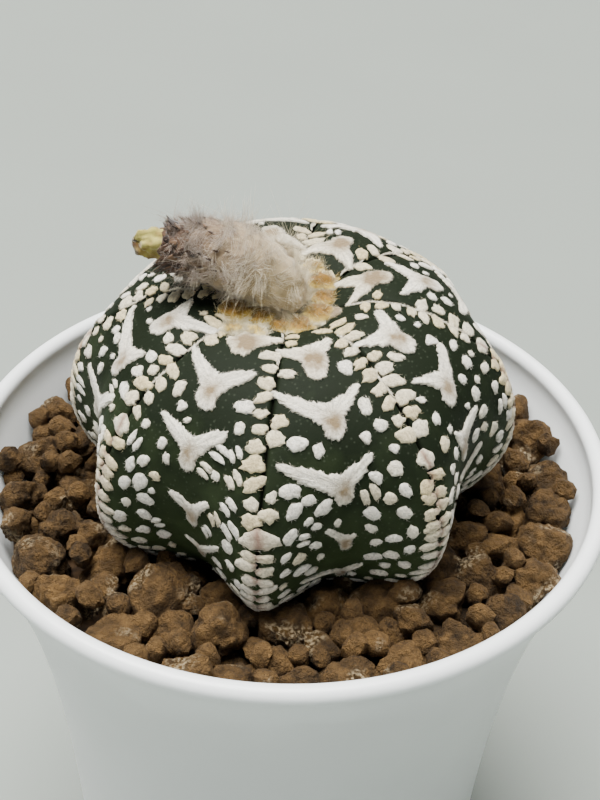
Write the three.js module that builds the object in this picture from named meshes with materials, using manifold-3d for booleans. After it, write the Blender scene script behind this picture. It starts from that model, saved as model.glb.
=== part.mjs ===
// A star cactus in a white plastic pot of gritty clay granules.
//
// Frame: millimetres, +Z up, origin on the pot's axis at the surface it stands on, and -Y is the
// side that faces the viewer. Directions round the plant are degrees from -Y towards +X.
import * as THREE from 'three';
import { mergeVertices } from 'three/addons/utils/BufferGeometryUtils.js';
import Module from 'manifold-3d';

const wasm = await Module();
wasm.setup();

// ---------------------------------------------------------------- driving dimensions (mm, degrees)

// Pot: a wall that flares towards a round bead at the rim, and a floor raised on a foot ring.
const POT_HEIGHT = 78;
const RIM_RADIUS = 45;
const BEAD_RADIUS = 1.25;
const WALL = 1.2;
const FOOT_RADIUS = 33;
const FLARE = 11.6;
const FLARE_DEPTH = 27;
const FOOT_RING_WIDTH = 5;
const FLOOR_RAISE = 1.5;
const FLOOR_THICKNESS = 1.8;
const FLOOR_CORNER = 2;
const FOOT_CHAMFER = 0.8;
const DRAIN_HOLES = 6;
const DRAIN_RADIUS = 2.5;
const DRAIN_CIRCLE = 17;
const DRAIN_SIDES = 12;
const POT_SIDES = 40;
const WALL_DEPTHS = [3, 9, 20, 42];

// Every height of soil and plant is measured from the rim plane, the middle of the bead.
const RIM_PLANE = POT_HEIGHT - BEAD_RADIUS;
const GAP = 0.3;

// Soil: a bed of clay granules, drawn as a solid bed with the top layer standing out of it.
const SOIL_LEVEL = RIM_PLANE - 7.6;
const GRANULE_PITCH = 6.3;
const GRANULE_RADIUS = [2.9, 3.5];
const GRANULE_RISE = [0, 1.2];
const GRANULE_STRAY = 0.8;
const RING_PITCH = 5.8;
const RING_STRAY = 0.3;
const LUMP_REACH = 1.1;
const LUMP_FLATTEST = 0.85;
const PLANT_CORE_RADIUS = 17;

// Body: a squat globe of eight ribs. A rib runs from one seam to the next. On the crown the seams
// are grooves between swollen lobes, and lower down they are the points of a star.
const BODY_X = 0.1;
const BODY_Y = 1.8;
const BODY_RADIUS = 31;
const EQUATOR = RIM_PLANE + 6.2;
const TOP_HEIGHT = 20.2;
const LOW_HEIGHT = 19.9;
const TOP_POWER = 2.24;
const LOW_POWER = 1.98;
const LAST_ANGLE = 138;
const LEAN_X = 1.9;
const LEAN_Y = 5.7;
const OVAL = 0.023;
const OVAL_AZIMUTH = 33;
const SEAMS = [-6, 37, 83, 128, 171, 214, 265, 308];
const SWELL = 0.025;
const LOBE_START = 0.08;
const LOBE_RISE = 18;
const HOLLOW = 0.19;
const HOLLOW_POWER = 1.7;
const FOLD_START = 0.15;
const FOLD_SPAN = 0.68;
const CROWN_DIP = 5.1;
const CROWN_DIP_RADIUS = 8.2;
const ROWS = 14;
const STEPS_ACROSS = 5;
const HOLLOW_ROWS = 12;
const HOLLOW_STEPS_ACROSS = 4;

// Taproot below the body: height over the rim plane and radius of each ring.
const ROOT_RINGS = [[-14.5, 11], [-20, 5.5], [-34, 3.4]];
const ROOT_TIP = -39;

// Felt: V-shaped marks with a woolly areole in their fork, one above the other along each rib, and
// small flecks between them, which stand larger than life. Distances run in mm along the rib from
// the crown, and across from its middle. A mark is
// [across, down, left arm across, left arm rise, right arm across, right arm rise].
const ARM_HALF_WIDTH = 1.9;
const ARM_TIP_HALF_WIDTH = 1.3;
const FELT_HEIGHT = 0.6;
const FELT_ROOT = 0.5;
const FELT_AIM = EQUATOR - 4;
const FELT_DOWN = [0.03, 0.99];
const FELT_PAST_SEAM = 0.12;
const FELT_CLEARANCE = FELT_HEIGHT + GAP + 0.1;
const BARE_CLEARANCE = GAP + 0.1;
const MARKS = [
  [[-1, 13, -3.5, 0.5, 2.5, 2], [-0.5, 22, -6.5, 3, 3.5, 3], [-0.5, 30.5, -7.5, 3.5, 3.5, 3],
    [0.5, 39, -3, 2.5, 1.5, 1.5], [1, 47, -6, 2, 3, 2.5]],
  [[-1, 15.5, -4, 2, 3, 3], [-1, 24.5, -4, 3, 3.5, 3], [-2, 32, -2.5, 2.5, 5, 2],
    [0, 40, -4, 2.5, 4, 2.5]],
  [[0, 11, -3, 3, 1.5, 3.5], [-0.5, 18.5, -3, 3, 3.5, 3], [0, 27, -5, 3, 4, 3],
    [0, 35.5, -5, 3, 4, 3]],
  [[0, 12.5, -3.5, 2, 3.5, 2], [0, 21, -4.5, 3, 4.5, 3], [0, 30, -5, 3, 4, 3], [0, 39, -4, 3, 4, 3]],
  [[0, 14, -3, 2, 3, 2], [0, 22.5, -5, 3, 4, 3], [0, 31.5, -5, 3, 5, 3], [0, 40, -4, 3, 4, 3]],
  [[0, 11, -2.5, 2, 2.5, 2], [0, 19.5, -4, 3, 5, 3], [0, 28.5, -5, 3, 5, 3], [0, 37, -4, 3, 4, 3]],
  [[0.5, 16.5, -2, 2.5, 4, 3], [1, 24, -6, 2.5, 3, 2.5], [0, 32.5, -5, 2.5, 5, 4],
    [0, 41, -4, 2.5, 4, 2.5]],
  [[0, 11.5, -2, 0, 3, 1.5], [0, 19.5, -5.5, 3, 3.5, 3], [0.5, 27.5, -5.5, 2.5, 3.5, 3],
    [1.5, 36, -3.5, 1.5, 2.5, 2.5], [2.5, 43, -3, 1, 3.5, 3.5]],
];
const FLECK_SIDES = 5;
const FLECK_RADIUS = [2, 2.5];
const FLECK_SPACING = 4.1;
const FLECK_STRAY = 0.9;
const FLECK_FROM_SEAM = 2.5;
const FLECK_FROM_LADDER = 4.9;
const FLECK_START = 10.5;
const FLECK_ROWS = 10;
const FLECK_CLEARANCE = 2;
const LOBE_HALF_WIDTH = 2.3;
const LOBE_HALF_LENGTH = 2.7;
const LADDER_START = 35;
const LADDER_HALF_WIDTH = 3;

// Crown wool: a ring of tufts round the foot of the fruit, [x, y, radius] from the body's axis.
const TUFTS = [[-6.5, -1.8, 2.3], [-4, -3.6, 2], [-1, -3.8, 2], [3.2, -2.8, 2.5], [4.8, 1.4, 2.3],
  [3.6, 5, 2.4], [-0.4, 5.6, 2.3]];
const TUFT_LIFT = 1.4;
const WOOL_RADIUS = 5.6;
const WOOL_SIDES = 14;
const WOOL_TOP = 1.9;

// Dried fruit: stations along its axis, [x, y, height over the rim plane, radius].
const FRUIT_STATIONS = [[-0.2, 1.9, 23.4, 2.4], [-1, 2, 24.8, 3.7], [-3.2, 2.1, 26.8, 4.3],
  [-6.4, 2.3, 28.4, 4.6], [-10, 2.5, 29.5, 4.5], [-13.2, 2.5, 30, 3.9], [-15.6, 2.5, 30.2, 3],
  [-16.8, 2.5, 30.3, 2.2]];
const FRUIT_SIDES = 12;
const SCALE_ROWS = 4;
const SCALES_A_ROW = 5;
const FIRST_SCALE_STATION = 2;
const SCALE_WIDTH = 2.6;
const SCALE_RISE = 0.9;
const SCALE_LEAN = 1.3;
const SCALE_ROOT = 0.6;
const END_CONE = 0.08;

// Withered flower tube at the fruit's end, stations as above.
const FLOWER_STATIONS = [[-17.45, 2.5, 30.35, 1.7], [-18.6, 2.5, 30.5, 1.9], [-19.8, 2.4, 30.8, 1.8],
  [-20.7, 2.3, 31.1, 1.2]];
const FLOWER_SIDES = 9;
const FLOWER_WAVER = 0.12;

// ------------------------------------------------------------------------------- small helpers

const radians = THREE.MathUtils.degToRad;
const { lerp, smoothstep, clamp } = THREE.MathUtils;

// A repeatable stream of numbers between 0 and 1.
function randomStream(seed) {
  let state = seed >>> 0;
  return () => {
    state = (state + 0x6d2b79f5) >>> 0;
    let mixed = Math.imul(state ^ (state >>> 15), 1 | state);
    mixed = (mixed + Math.imul(mixed ^ (mixed >>> 7), 61 | mixed)) ^ mixed;
    return ((mixed ^ (mixed >>> 14)) >>> 0) / 4294967296;
  };
}

function geometryOf(points, triangles) {
  const geometry = new THREE.BufferGeometry();
  const coordinates = points.flatMap((point) => point.toArray());
  geometry.setAttribute('position', new THREE.Float32BufferAttribute(coordinates, 3));
  geometry.setIndex(triangles);
  return geometry;
}

// A closed skin over rings of points that turn anticlockwise seen from the first pole.
function skin(firstPole, rings, lastPole) {
  const count = rings[0].length;
  const points = [firstPole, ...rings.flat(), lastPole];
  const last = points.length - 1;
  const at = (ring, step) => 1 + ring * count + (step % count);
  const triangles = [];
  for (let step = 0; step < count; step += 1) {
    triangles.push(0, at(0, step), at(0, step + 1));
    for (let ring = 0; ring < rings.length - 1; ring += 1) {
      triangles.push(at(ring, step), at(ring + 1, step), at(ring + 1, step + 1));
      triangles.push(at(ring, step), at(ring + 1, step + 1), at(ring, step + 1));
    }
    triangles.push(last, at(rings.length - 1, step + 1), at(rings.length - 1, step));
  }
  return geometryOf(points, triangles);
}

function solidOf(geometry) {
  const bare = geometry.clone();
  bare.deleteAttribute('normal');
  bare.deleteAttribute('uv');
  const merged = mergeVertices(bare, 1e-4);
  return new wasm.Manifold(new wasm.Mesh({
    numProp: 3,
    vertProperties: new Float32Array(merged.attributes.position.array),
    triVerts: new Uint32Array(merged.index.array),
  }));
}

// The largest body of a solid, without the scraps that a cut leaves.
function mainBody(solid) {
  const bodies = solid.decompose();
  return bodies.reduce((best, body) => (body.volume() > best.volume() ? body : best));
}

function geometryFromSolid(solid) {
  const mesh = solid.getMesh();
  const geometry = new THREE.BufferGeometry();
  geometry.setAttribute('position', new THREE.BufferAttribute(mesh.vertProperties.slice(), 3));
  geometry.setIndex(new THREE.BufferAttribute(mesh.triVerts.slice(), 1));
  return geometry;
}

// A LatheGeometry turns about Y, so its profile of [radius, height] is stood up on Z.
function lathe(profile, sides) {
  const points = profile.map(([radius, height]) => new THREE.Vector2(radius, height));
  return new THREE.LatheGeometry(points, sides).rotateX(Math.PI / 2);
}

// The frame of a station [x, y, height, radius]: its centre, the way along the tube, and two
// directions across it.
function stationFrame(stations, index) {
  const centreOf = ([x, y, height]) => new THREE.Vector3(x, y, RIM_PLANE + height);
  const before = centreOf(stations[Math.max(index - 1, 0)]);
  const after = centreOf(stations[Math.min(index + 1, stations.length - 1)]);
  const along = after.sub(before).normalize();
  const level = new THREE.Vector3(0, 1, 0).cross(along).normalize();
  const across = along.clone().cross(level);
  return { centre: centreOf(stations[index]), along, level, across };
}

// A tube of round sections at stations, closed by a low cone at each end.
function stationTube(stations, sides, grow, waver = () => 1) {
  const rings = stations.map((station, index) => {
    const { centre, level, across } = stationFrame(stations, index);
    return Array.from({ length: sides }, (_, step) => {
      const angle = (-2 * Math.PI * step) / sides;
      const reach = (station[3] + grow) * waver(index, step);
      return centre.clone()
        .addScaledVector(level, reach * Math.cos(angle))
        .addScaledVector(across, reach * Math.sin(angle));
    });
  });
  const end = (index, way) => {
    const { centre, along } = stationFrame(stations, index);
    return centre.addScaledVector(along, way * (END_CONE * stations[index][3] + grow));
  };
  return skin(end(0, -1), rings, end(stations.length - 1, 1));
}

// ------------------------------------------------------------------------------------- the pot

// Radius of the pot's outside at a depth below the rim plane: a straight foot and a flare that
// grows as an exponential towards the rim.
function outerRadius(depth) {
  return FOOT_RADIUS + FLARE * Math.exp(-depth / FLARE_DEPTH);
}

function innerRadius(depth) {
  return outerRadius(depth) - WALL;
}

function potSolid() {
  const beadCentre = RIM_RADIUS - BEAD_RADIUS;
  const bead = [150, 90, 45, 0, -45].map((degrees) => [
    beadCentre + BEAD_RADIUS * Math.cos(radians(degrees)),
    RIM_PLANE + BEAD_RADIUS * Math.sin(radians(degrees)),
  ]);
  const floorTop = FLOOR_RAISE + FLOOR_THICKNESS;
  const footOuter = outerRadius(RIM_PLANE);
  const outside = WALL_DEPTHS.map((depth) => [outerRadius(depth), RIM_PLANE - depth]);
  const inside = WALL_DEPTHS.map((depth) => [innerRadius(depth), RIM_PLANE - depth]).reverse();
  const profile = [
    [0, floorTop],
    [innerRadius(RIM_PLANE) - FLOOR_CORNER, floorTop],
    [innerRadius(RIM_PLANE), floorTop + FLOOR_CORNER],
    ...inside,
    ...bead,
    ...outside,
    [footOuter, FOOT_CHAMFER],
    [footOuter - FOOT_CHAMFER, 0],
    [footOuter - FOOT_RING_WIDTH, 0],
    [footOuter - FOOT_RING_WIDTH - FOOT_CHAMFER, FLOOR_RAISE],
    [0, FLOOR_RAISE],
  ];
  const shell = solidOf(lathe(profile.reverse(), POT_SIDES));
  const drains = Array.from({ length: DRAIN_HOLES }, (_, index) => {
    const angle = (2 * Math.PI * index) / DRAIN_HOLES;
    const hole = new THREE.CylinderGeometry(DRAIN_RADIUS, DRAIN_RADIUS, 4 * FLOOR_THICKNESS, DRAIN_SIDES);
    hole.rotateX(Math.PI / 2);
    hole.translate(DRAIN_CIRCLE * Math.cos(angle), DRAIN_CIRCLE * Math.sin(angle), FLOOR_RAISE);
    return solidOf(hole);
  });
  return shell.subtract(wasm.Manifold.union(drains));
}

// ------------------------------------------------------------------------------------ the body

// A point on a rib. across runs 0 to 1 from its seam to the next one, down runs 0 at the crown to
// 1 where the body meets the soil. The meridian is two superellipses that meet at the equator.
// The fold turns from lobes with grooves between them, on top, to hollow faces between the points
// of a star. grow moves the skin outwards.
function ribPoint(rib, across, down, grow = 0) {
  const nextSeam = rib === SEAMS.length - 1 ? SEAMS[0] + 360 : SEAMS[rib + 1];
  const azimuth = radians(lerp(SEAMS[rib], nextSeam, across));
  const angle = radians(LAST_ANGLE) * down;
  const upper = Math.cos(angle) >= 0;
  const power = 2 / (upper ? TOP_POWER : LOW_POWER);
  const rise = Math.abs(Math.cos(angle)) ** power * (upper ? TOP_HEIGHT + grow : -LOW_HEIGHT - grow);
  let radius = Math.abs(Math.sin(angle)) ** power * (BODY_RADIUS + grow);

  const toMiddle = 1 - Math.abs(2 * across - 1);
  const fold = smoothstep(down, FOLD_START, FOLD_START + FOLD_SPAN);
  const lobe = SWELL * (Math.sqrt(1 - (1 - toMiddle) ** 2) - 1);
  const face = -HOLLOW * (1 - (1 - toMiddle) ** HOLLOW_POWER);
  radius *= 1 + lerp(lobe, face, fold);
  radius *= 1 + OVAL * Math.cos(2 * (azimuth - radians(OVAL_AZIMUTH)));

  const x = radius * Math.sin(azimuth);
  const y = -radius * Math.cos(azimuth);
  const onTop = (1 - fold) * Math.abs(Math.cos(angle)) * clamp(down / LOBE_START, 0, 1);
  const lobeRise = LOBE_RISE * lobe * onTop;
  const dip = CROWN_DIP * Math.exp(-((radius / CROWN_DIP_RADIUS) ** 2));
  const lean = x * Math.tan(radians(LEAN_X)) + y * Math.tan(radians(LEAN_Y));
  return new THREE.Vector3(BODY_X + x, BODY_Y + y, EQUATOR + rise + lobeRise - dip + lean);
}

// The skin of the body and its root.
function bodySkin(grow, rows, stepsAcross) {
  const rings = [];
  for (let row = 1; row <= rows; row += 1) {
    const ring = [];
    for (let rib = 0; rib < SEAMS.length; rib += 1) {
      for (let step = 0; step < stepsAcross; step += 1) {
        ring.push(ribPoint(rib, step / stepsAcross, row / rows, grow));
      }
    }
    rings.push(ring);
  }
  const azimuths = rings.at(-1).map((p) => Math.atan2(p.y - BODY_Y, p.x - BODY_X));
  const rootGrow = Math.min(grow, BARE_CLEARANCE);
  for (const [height, radius] of ROOT_RINGS) {
    rings.push(azimuths.map((azimuth) => new THREE.Vector3(
      BODY_X + (radius + rootGrow) * Math.cos(azimuth),
      BODY_Y + (radius + rootGrow) * Math.sin(azimuth),
      RIM_PLANE + height,
    )));
  }
  const crown = ribPoint(0, 0, 0, grow);
  const tip = new THREE.Vector3(BODY_X, BODY_Y, RIM_PLANE + ROOT_TIP - rootGrow);
  return skin(crown, rings, tip);
}

// The body grown by a clearance, to cut a place for it or to lay a sheet on it.
function grownBody(clearance) {
  return solidOf(bodySkin(clearance, HOLLOW_ROWS, HOLLOW_STEPS_ACROSS));
}

// Lengths along the middle of a rib, and its width, turn millimetres into across and down.
function ribRuler(rib) {
  const samples = 100;
  const lengths = [0];
  for (let index = 1; index <= samples; index += 1) {
    const from = ribPoint(rib, 0.5, (index - 1) / samples);
    lengths.push(lengths.at(-1) + from.distanceTo(ribPoint(rib, 0.5, index / samples)));
  }
  const downAt = (length) => {
    const index = clamp(lengths.findIndex((value) => value >= length), 1, samples);
    const part = (length - lengths[index - 1]) / (lengths[index] - lengths[index - 1]);
    return clamp((index - 1 + part) / samples, ...FELT_DOWN);
  };
  const widthAt = (down) => {
    const stops = [0, 0.25, 0.5, 0.75, 1].map((across) => ribPoint(rib, across, down));
    return stops.slice(1).reduce((sum, stop, index) => sum + stop.distanceTo(stops[index]), 0);
  };
  return { downAt, widthAt };
}

// A point over the skin of a rib, given in mm across from its middle and down from the crown.
function feltPoint(rib, ruler, acrossMm, downMm, lift) {
  const down = ruler.downAt(downMm);
  const place = 0.5 + acrossMm / ruler.widthAt(down);
  const across = clamp(place, -FELT_PAST_SEAM, 1 + FELT_PAST_SEAM);
  const wrapped = (rib + Math.floor(across) + SEAMS.length) % SEAMS.length;
  const point = ribPoint(wrapped, across - Math.floor(across), down);
  const inward = new THREE.Vector3(BODY_X, BODY_Y, FELT_AIM).sub(point).normalize();
  return point.addScaledVector(inward, -lift);
}

// A fleck of felt, or the lobe of a mark: a low pyramid with its foot sunk in the skin.
function fleckSolid(rib, ruler, across, down, halfWidth, halfLength, sides, turn) {
  const foot = Array.from({ length: sides }, (_, index) => {
    const angle = turn - (2 * Math.PI * index) / sides;
    return feltPoint(rib, ruler, across + halfWidth * Math.cos(angle), down + halfLength * Math.sin(angle),
      -FELT_ROOT);
  });
  const top = feltPoint(rib, ruler, across, down, FELT_HEIGHT);
  const bottom = feltPoint(rib, ruler, across, down, -2 * FELT_ROOT);
  return solidOf(skin(top, [foot], bottom));
}

// One arm of a mark: a ridge that tapers from the areole to the tip.
function armSolid(rib, ruler, from, to) {
  const length = Math.hypot(to[0] - from[0], to[1] - from[1]);
  const side = [-(to[1] - from[1]) / length, (to[0] - from[0]) / length];
  const section = ([across, down], half) => {
    const corner = (sign, lift) => feltPoint(rib, ruler, across + sign * half * side[0],
      down + sign * half * side[1], lift);
    return [corner(1, -FELT_ROOT), corner(0, FELT_HEIGHT), corner(-1, -FELT_ROOT)];
  };
  const middle = (ring) => ring[0].clone().lerp(ring[2], 0.5);
  const rings = [section(from, ARM_HALF_WIDTH), section(to, ARM_TIP_HALF_WIDTH)];
  return solidOf(skin(middle(rings[0]), rings, middle(rings[1])));
}

function markSolids(rib, ruler, mark) {
  const [across, down, leftAcross, leftRise, rightAcross, rightRise] = mark;
  const areole = [across, down];
  const tips = [[across + leftAcross, down - leftRise], [across + rightAcross, down - rightRise]];
  const arms = tips.map((tip) => armSolid(rib, ruler, areole, tip));
  const lobe = fleckSolid(rib, ruler, across, down, LOBE_HALF_WIDTH, LOBE_HALF_LENGTH, 4, 0);
  return [...arms, lobe];
}

// Distance from a point of a rib to the nearest arm of its marks, all in mm.
function distanceToMarks(rib, across, down) {
  const point = new THREE.Vector3(across, down, 0);
  const nearest = new THREE.Vector3();
  const distances = MARKS[rib].flatMap(([x, y, leftAcross, leftRise, rightAcross, rightRise]) => {
    const areole = new THREE.Vector3(x, y, 0);
    const left = new THREE.Vector3(x + leftAcross, y - leftRise, 0);
    const right = new THREE.Vector3(x + rightAcross, y - rightRise, 0);
    return [left, right].map((tip) => new THREE.Line3(areole, tip)
      .closestPointToPoint(point, true, nearest).distanceTo(point));
  });
  return Math.min(...distances);
}

// Flecks in staggered rows down the rib, from both seams in towards its middle, where the marks
// take their place. Low down, a ladder of broad flecks runs over the seam itself.
function fleckSolids(rib, ruler, random) {
  const flecks = [];
  for (let row = 0; row < FLECK_ROWS; row += 1) {
    const down = FLECK_START + row * FLECK_SPACING;
    const halfRib = ruler.widthAt(ruler.downAt(down)) / 2;
    const onLadder = down > LADDER_START;
    const fromSeam = onLadder ? FLECK_FROM_LADDER : FLECK_FROM_SEAM;
    for (let inward = fromSeam; inward < halfRib; inward += FLECK_SPACING) {
      for (const side of [-1, 1]) {
        const across = side * (halfRib - inward) + FLECK_STRAY * (random() - 0.5);
        const along = down + (side / 4) * FLECK_SPACING + FLECK_STRAY * (random() - 0.5);
        const size = lerp(FLECK_RADIUS[0], FLECK_RADIUS[1], random());
        if (distanceToMarks(rib, across, along) > FLECK_CLEARANCE) {
          flecks.push(fleckSolid(rib, ruler, across, along, size, 0.9 * size, FLECK_SIDES, random()));
        }
      }
    }
    if (onLadder) {
      flecks.push(fleckSolid(rib, ruler, -halfRib, down, LADDER_HALF_WIDTH, FLECK_RADIUS[0],
        FLECK_SIDES, 0));
    }
  }
  return flecks;
}

function cactusBody() {
  const random = randomStream(8);
  const felt = MARKS.flatMap((ribMarks, rib) => {
    const ruler = ribRuler(rib);
    const marks = ribMarks.flatMap((mark) => markSolids(rib, ruler, mark));
    return [...marks, ...fleckSolids(rib, ruler, random)];
  });
  return mainBody(wasm.Manifold.union([solidOf(bodySkin(0, ROWS, STEPS_ACROSS)), ...felt]));
}

// ------------------------------------------------------------------------------------ the soil

// A lump of twenty faces, its corners moved in and out: a granule, or a tuft of wool.
function lumpSolid(x, y, z, radius, random) {
  const lump = new THREE.IcosahedronGeometry(1, 0);
  lump.deleteAttribute('normal');
  lump.deleteAttribute('uv');
  const merged = mergeVertices(lump, 1e-4);
  const stretch = new THREE.Vector3(...[0, 0, 0].map(() => lerp(LUMP_FLATTEST, 1, random())));
  const turn = new THREE.Euler(...[0, 0, 0].map(() => 2 * Math.PI * random()));
  const corner = new THREE.Vector3();
  const position = merged.attributes.position;
  for (let index = 0; index < position.count; index += 1) {
    corner.fromBufferAttribute(position, index).multiply(stretch).applyEuler(turn);
    corner.multiplyScalar(radius * lerp(LUMP_FLATTEST, LUMP_REACH, random()));
    position.setXYZ(index, x + corner.x, y + corner.y, z + corner.z);
  }
  return solidOf(merged);
}

// Granules lie in rings, moved about a little, from the pot's wall in to the plant.
function granuleSolids() {
  const random = randomStream(5);
  const granules = [];
  const outerRing = innerRadius(RIM_PLANE - SOIL_LEVEL) - GAP - LUMP_REACH * GRANULE_RADIUS[1];
  for (let ringRadius = outerRing; ringRadius > PLANT_CORE_RADIUS; ringRadius -= RING_PITCH) {
    const count = Math.round((2 * Math.PI * ringRadius) / GRANULE_PITCH);
    for (let step = 0; step < count; step += 1) {
      const angle = (2 * Math.PI * (step + RING_STRAY * random())) / count;
      const radius = lerp(GRANULE_RADIUS[0], GRANULE_RADIUS[1], random());
      const away = ringRadius - GRANULE_STRAY * random();
      const z = SOIL_LEVEL + lerp(GRANULE_RISE[0], GRANULE_RISE[1], random());
      granules.push(lumpSolid(away * Math.cos(angle), away * Math.sin(angle), z, radius, random));
    }
  }
  return granules;
}

function soilSolid() {
  const floor = FLOOR_RAISE + FLOOR_THICKNESS + GAP;
  const side = WALL_DEPTHS.filter((depth) => RIM_PLANE - depth < SOIL_LEVEL)
    .map((depth) => [innerRadius(depth) - GAP, RIM_PLANE - depth]);
  const profile = [
    [0, SOIL_LEVEL],
    [innerRadius(RIM_PLANE - SOIL_LEVEL) - GAP, SOIL_LEVEL],
    ...side,
    [innerRadius(RIM_PLANE) - GAP, floor + FLOOR_CORNER],
    [innerRadius(RIM_PLANE) - GAP - FLOOR_CORNER, floor],
    [0, floor],
  ];
  const bed = solidOf(lathe(profile.reverse(), POT_SIDES));
  return mainBody(wasm.Manifold.union([bed, ...granuleSolids()]).subtract(grownBody(FELT_CLEARANCE)));
}

// ----------------------------------------------------------------------- crown wool and fruit

// The wool is a sheet that lies on the dip of the crown, with the tufts standing on it.
function woolSolid() {
  const random = randomStream(3);
  const crownHeight = ribPoint(0, 0, 0).z;
  const tufts = TUFTS.map(([x, y, radius]) => {
    const away = Math.hypot(x, y);
    const rise = CROWN_DIP * (1 - Math.exp(-((away / CROWN_DIP_RADIUS) ** 2)));
    return lumpSolid(BODY_X + x, BODY_Y + y, crownHeight + rise + TUFT_LIFT, radius, random);
  });
  const disc = new THREE.CylinderGeometry(WOOL_RADIUS, WOOL_RADIUS, 4 * CROWN_DIP, WOOL_SIDES);
  disc.rotateX(Math.PI / 2).translate(BODY_X, BODY_Y, crownHeight);
  const sheet = solidOf(disc).intersect(grownBody(WOOL_TOP)).subtract(grownBody(BARE_CLEARANCE));
  const standing = wasm.Manifold.union(tufts).subtract(grownBody(FELT_CLEARANCE));
  return mainBody(sheet.add(standing).subtract(fruitWithScales(GAP)));
}

// One scale of the fruit: a pyramid that leans towards the fruit's end, its foot sunk in the skin.
function scaleSolid(index, angle, grow) {
  const { centre, along, level, across } = stationFrame(FRUIT_STATIONS, index);
  const outward = level.clone().multiplyScalar(Math.cos(angle)).addScaledVector(across, Math.sin(angle));
  const sideways = along.clone().cross(outward);
  const at = (out, forward, side) => centre.clone()
    .addScaledVector(outward, FRUIT_STATIONS[index][3] + out)
    .addScaledVector(along, forward)
    .addScaledVector(sideways, side);
  const half = SCALE_WIDTH / 2 + grow;
  const foot = [at(-SCALE_ROOT, -half, 0), at(-SCALE_ROOT, 0, half), at(-SCALE_ROOT, half, 0),
    at(-SCALE_ROOT, 0, -half)];
  const tip = at(SCALE_RISE + grow, SCALE_LEAN, 0);
  return solidOf(skin(tip, [foot], at(-2 * SCALE_ROOT, 0, 0)));
}

// The fruit: a woolly tube with staggered rows of scales. grow gives the space that it takes.
function fruitWithScales(grow) {
  const scales = Array.from({ length: SCALE_ROWS * SCALES_A_ROW }, (_, place) => {
    const row = Math.floor(place / SCALES_A_ROW);
    const angle = (2 * Math.PI * (place % SCALES_A_ROW + (row % 2) / 2)) / SCALES_A_ROW;
    return scaleSolid(row + FIRST_SCALE_STATION, angle, grow);
  });
  const tube = solidOf(stationTube(FRUIT_STATIONS, FRUIT_SIDES, grow));
  return wasm.Manifold.union([tube, ...scales]);
}

function fruitSolid() {
  return mainBody(fruitWithScales(0).subtract(grownBody(FELT_CLEARANCE)));
}

function flowerSolid() {
  const waver = (index, step) => 1 + FLOWER_WAVER * Math.sin(3 * step + 2 * index);
  return solidOf(stationTube(FLOWER_STATIONS, FLOWER_SIDES, 0, waver));
}

// ---------------------------------------------------------------------------------- the object

function piece(name, solid, color, roughness) {
  const material = new THREE.MeshStandardMaterial({ color, roughness, metalness: 0 });
  const mesh = new THREE.Mesh(geometryFromSolid(solid), material);
  mesh.name = name;
  return mesh;
}

const group = new THREE.Group();
group.add(
  piece('pot', potSolid(), 0xe9ecf0, 0.35),
  piece('soil', soilSolid(), 0x9a6d3f, 0.95),
  piece('cactus_body', cactusBody(), 0x3b463a, 0.6),
  piece('crown_wool', woolSolid(), 0xe6cfa0, 0.95),
  piece('seed_pod', fruitSolid(), 0xb0a290, 0.95),
  piece('flower_remnant', flowerSolid(), 0xb3a355, 0.8),
);

export default group;
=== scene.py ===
"""A star cactus with a dried seed pod, in a white plastic pot of gritty clay granules.

The meshes are in metres in the part's own frame. Their shapes are worked out in millimetres, with
heights measured from the rim plane, which is the plane of the bead round the pot's rim.
"""
import math

import bpy
import numpy as np
from bpy.props import FloatProperty, FloatVectorProperty, IntProperty, PointerProperty
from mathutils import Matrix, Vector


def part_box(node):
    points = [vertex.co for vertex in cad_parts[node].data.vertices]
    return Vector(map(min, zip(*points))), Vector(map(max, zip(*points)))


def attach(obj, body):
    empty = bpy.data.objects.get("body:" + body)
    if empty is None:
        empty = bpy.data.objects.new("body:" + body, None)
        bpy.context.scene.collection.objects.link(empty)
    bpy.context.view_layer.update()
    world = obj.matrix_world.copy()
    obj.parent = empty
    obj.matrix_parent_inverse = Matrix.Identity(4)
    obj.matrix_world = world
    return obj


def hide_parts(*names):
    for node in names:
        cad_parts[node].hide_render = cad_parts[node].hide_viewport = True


bl_info = {
    "name": "Potted Star Cactus",
    "version": (1, 0, 0),
    "blender": (4, 5, 0),
    "location": "3D View > Sidebar > Cactus",
    "description": "Builds a star cactus with felt flecks and a woolly seed pod in its pot",
    "category": "Add Mesh",
}

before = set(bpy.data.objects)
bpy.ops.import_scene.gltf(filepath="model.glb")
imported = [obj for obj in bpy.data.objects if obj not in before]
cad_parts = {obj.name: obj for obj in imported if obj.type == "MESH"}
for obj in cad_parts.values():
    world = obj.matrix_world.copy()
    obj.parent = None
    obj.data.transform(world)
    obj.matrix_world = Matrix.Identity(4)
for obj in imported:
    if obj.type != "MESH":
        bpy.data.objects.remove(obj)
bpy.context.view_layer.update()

MM = 0.001

# The pot, in mm. Its wall flares towards the rim, and the flare dies away over FLARE_DEPTH. The
# floor's two faces are given over the rim plane.
RIM_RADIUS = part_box("pot")[1][0] / MM
POT_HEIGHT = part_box("pot")[1][2] / MM
BEAD_RADIUS = 1.25
RIM_PLANE = POT_HEIGHT - BEAD_RADIUS
FOOT_RADIUS, FLARE, FLARE_DEPTH = 33.0, 11.6, 27.0
FLOOR_TOP, FLOOR_LOW = 3.3 - RIM_PLANE, 1.5 - RIM_PLANE
FLOOR_CORNER = 2.0
POT_SHARP_ANGLE = 40.0  # degrees
DRAIN_HOLES, DRAIN_RADIUS, DRAIN_CIRCLE = 6, 2.5, 17.0

# The pot's foot ring: [inwards from the wall's foot, height over the ground], in mm.
FOOT_RING = [[0.0, 0.6], [0.3, 0.15], [0.8, 0.0], [4.9, 0.0], [5.4, 0.3], [5.7, 1.5]]

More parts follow.
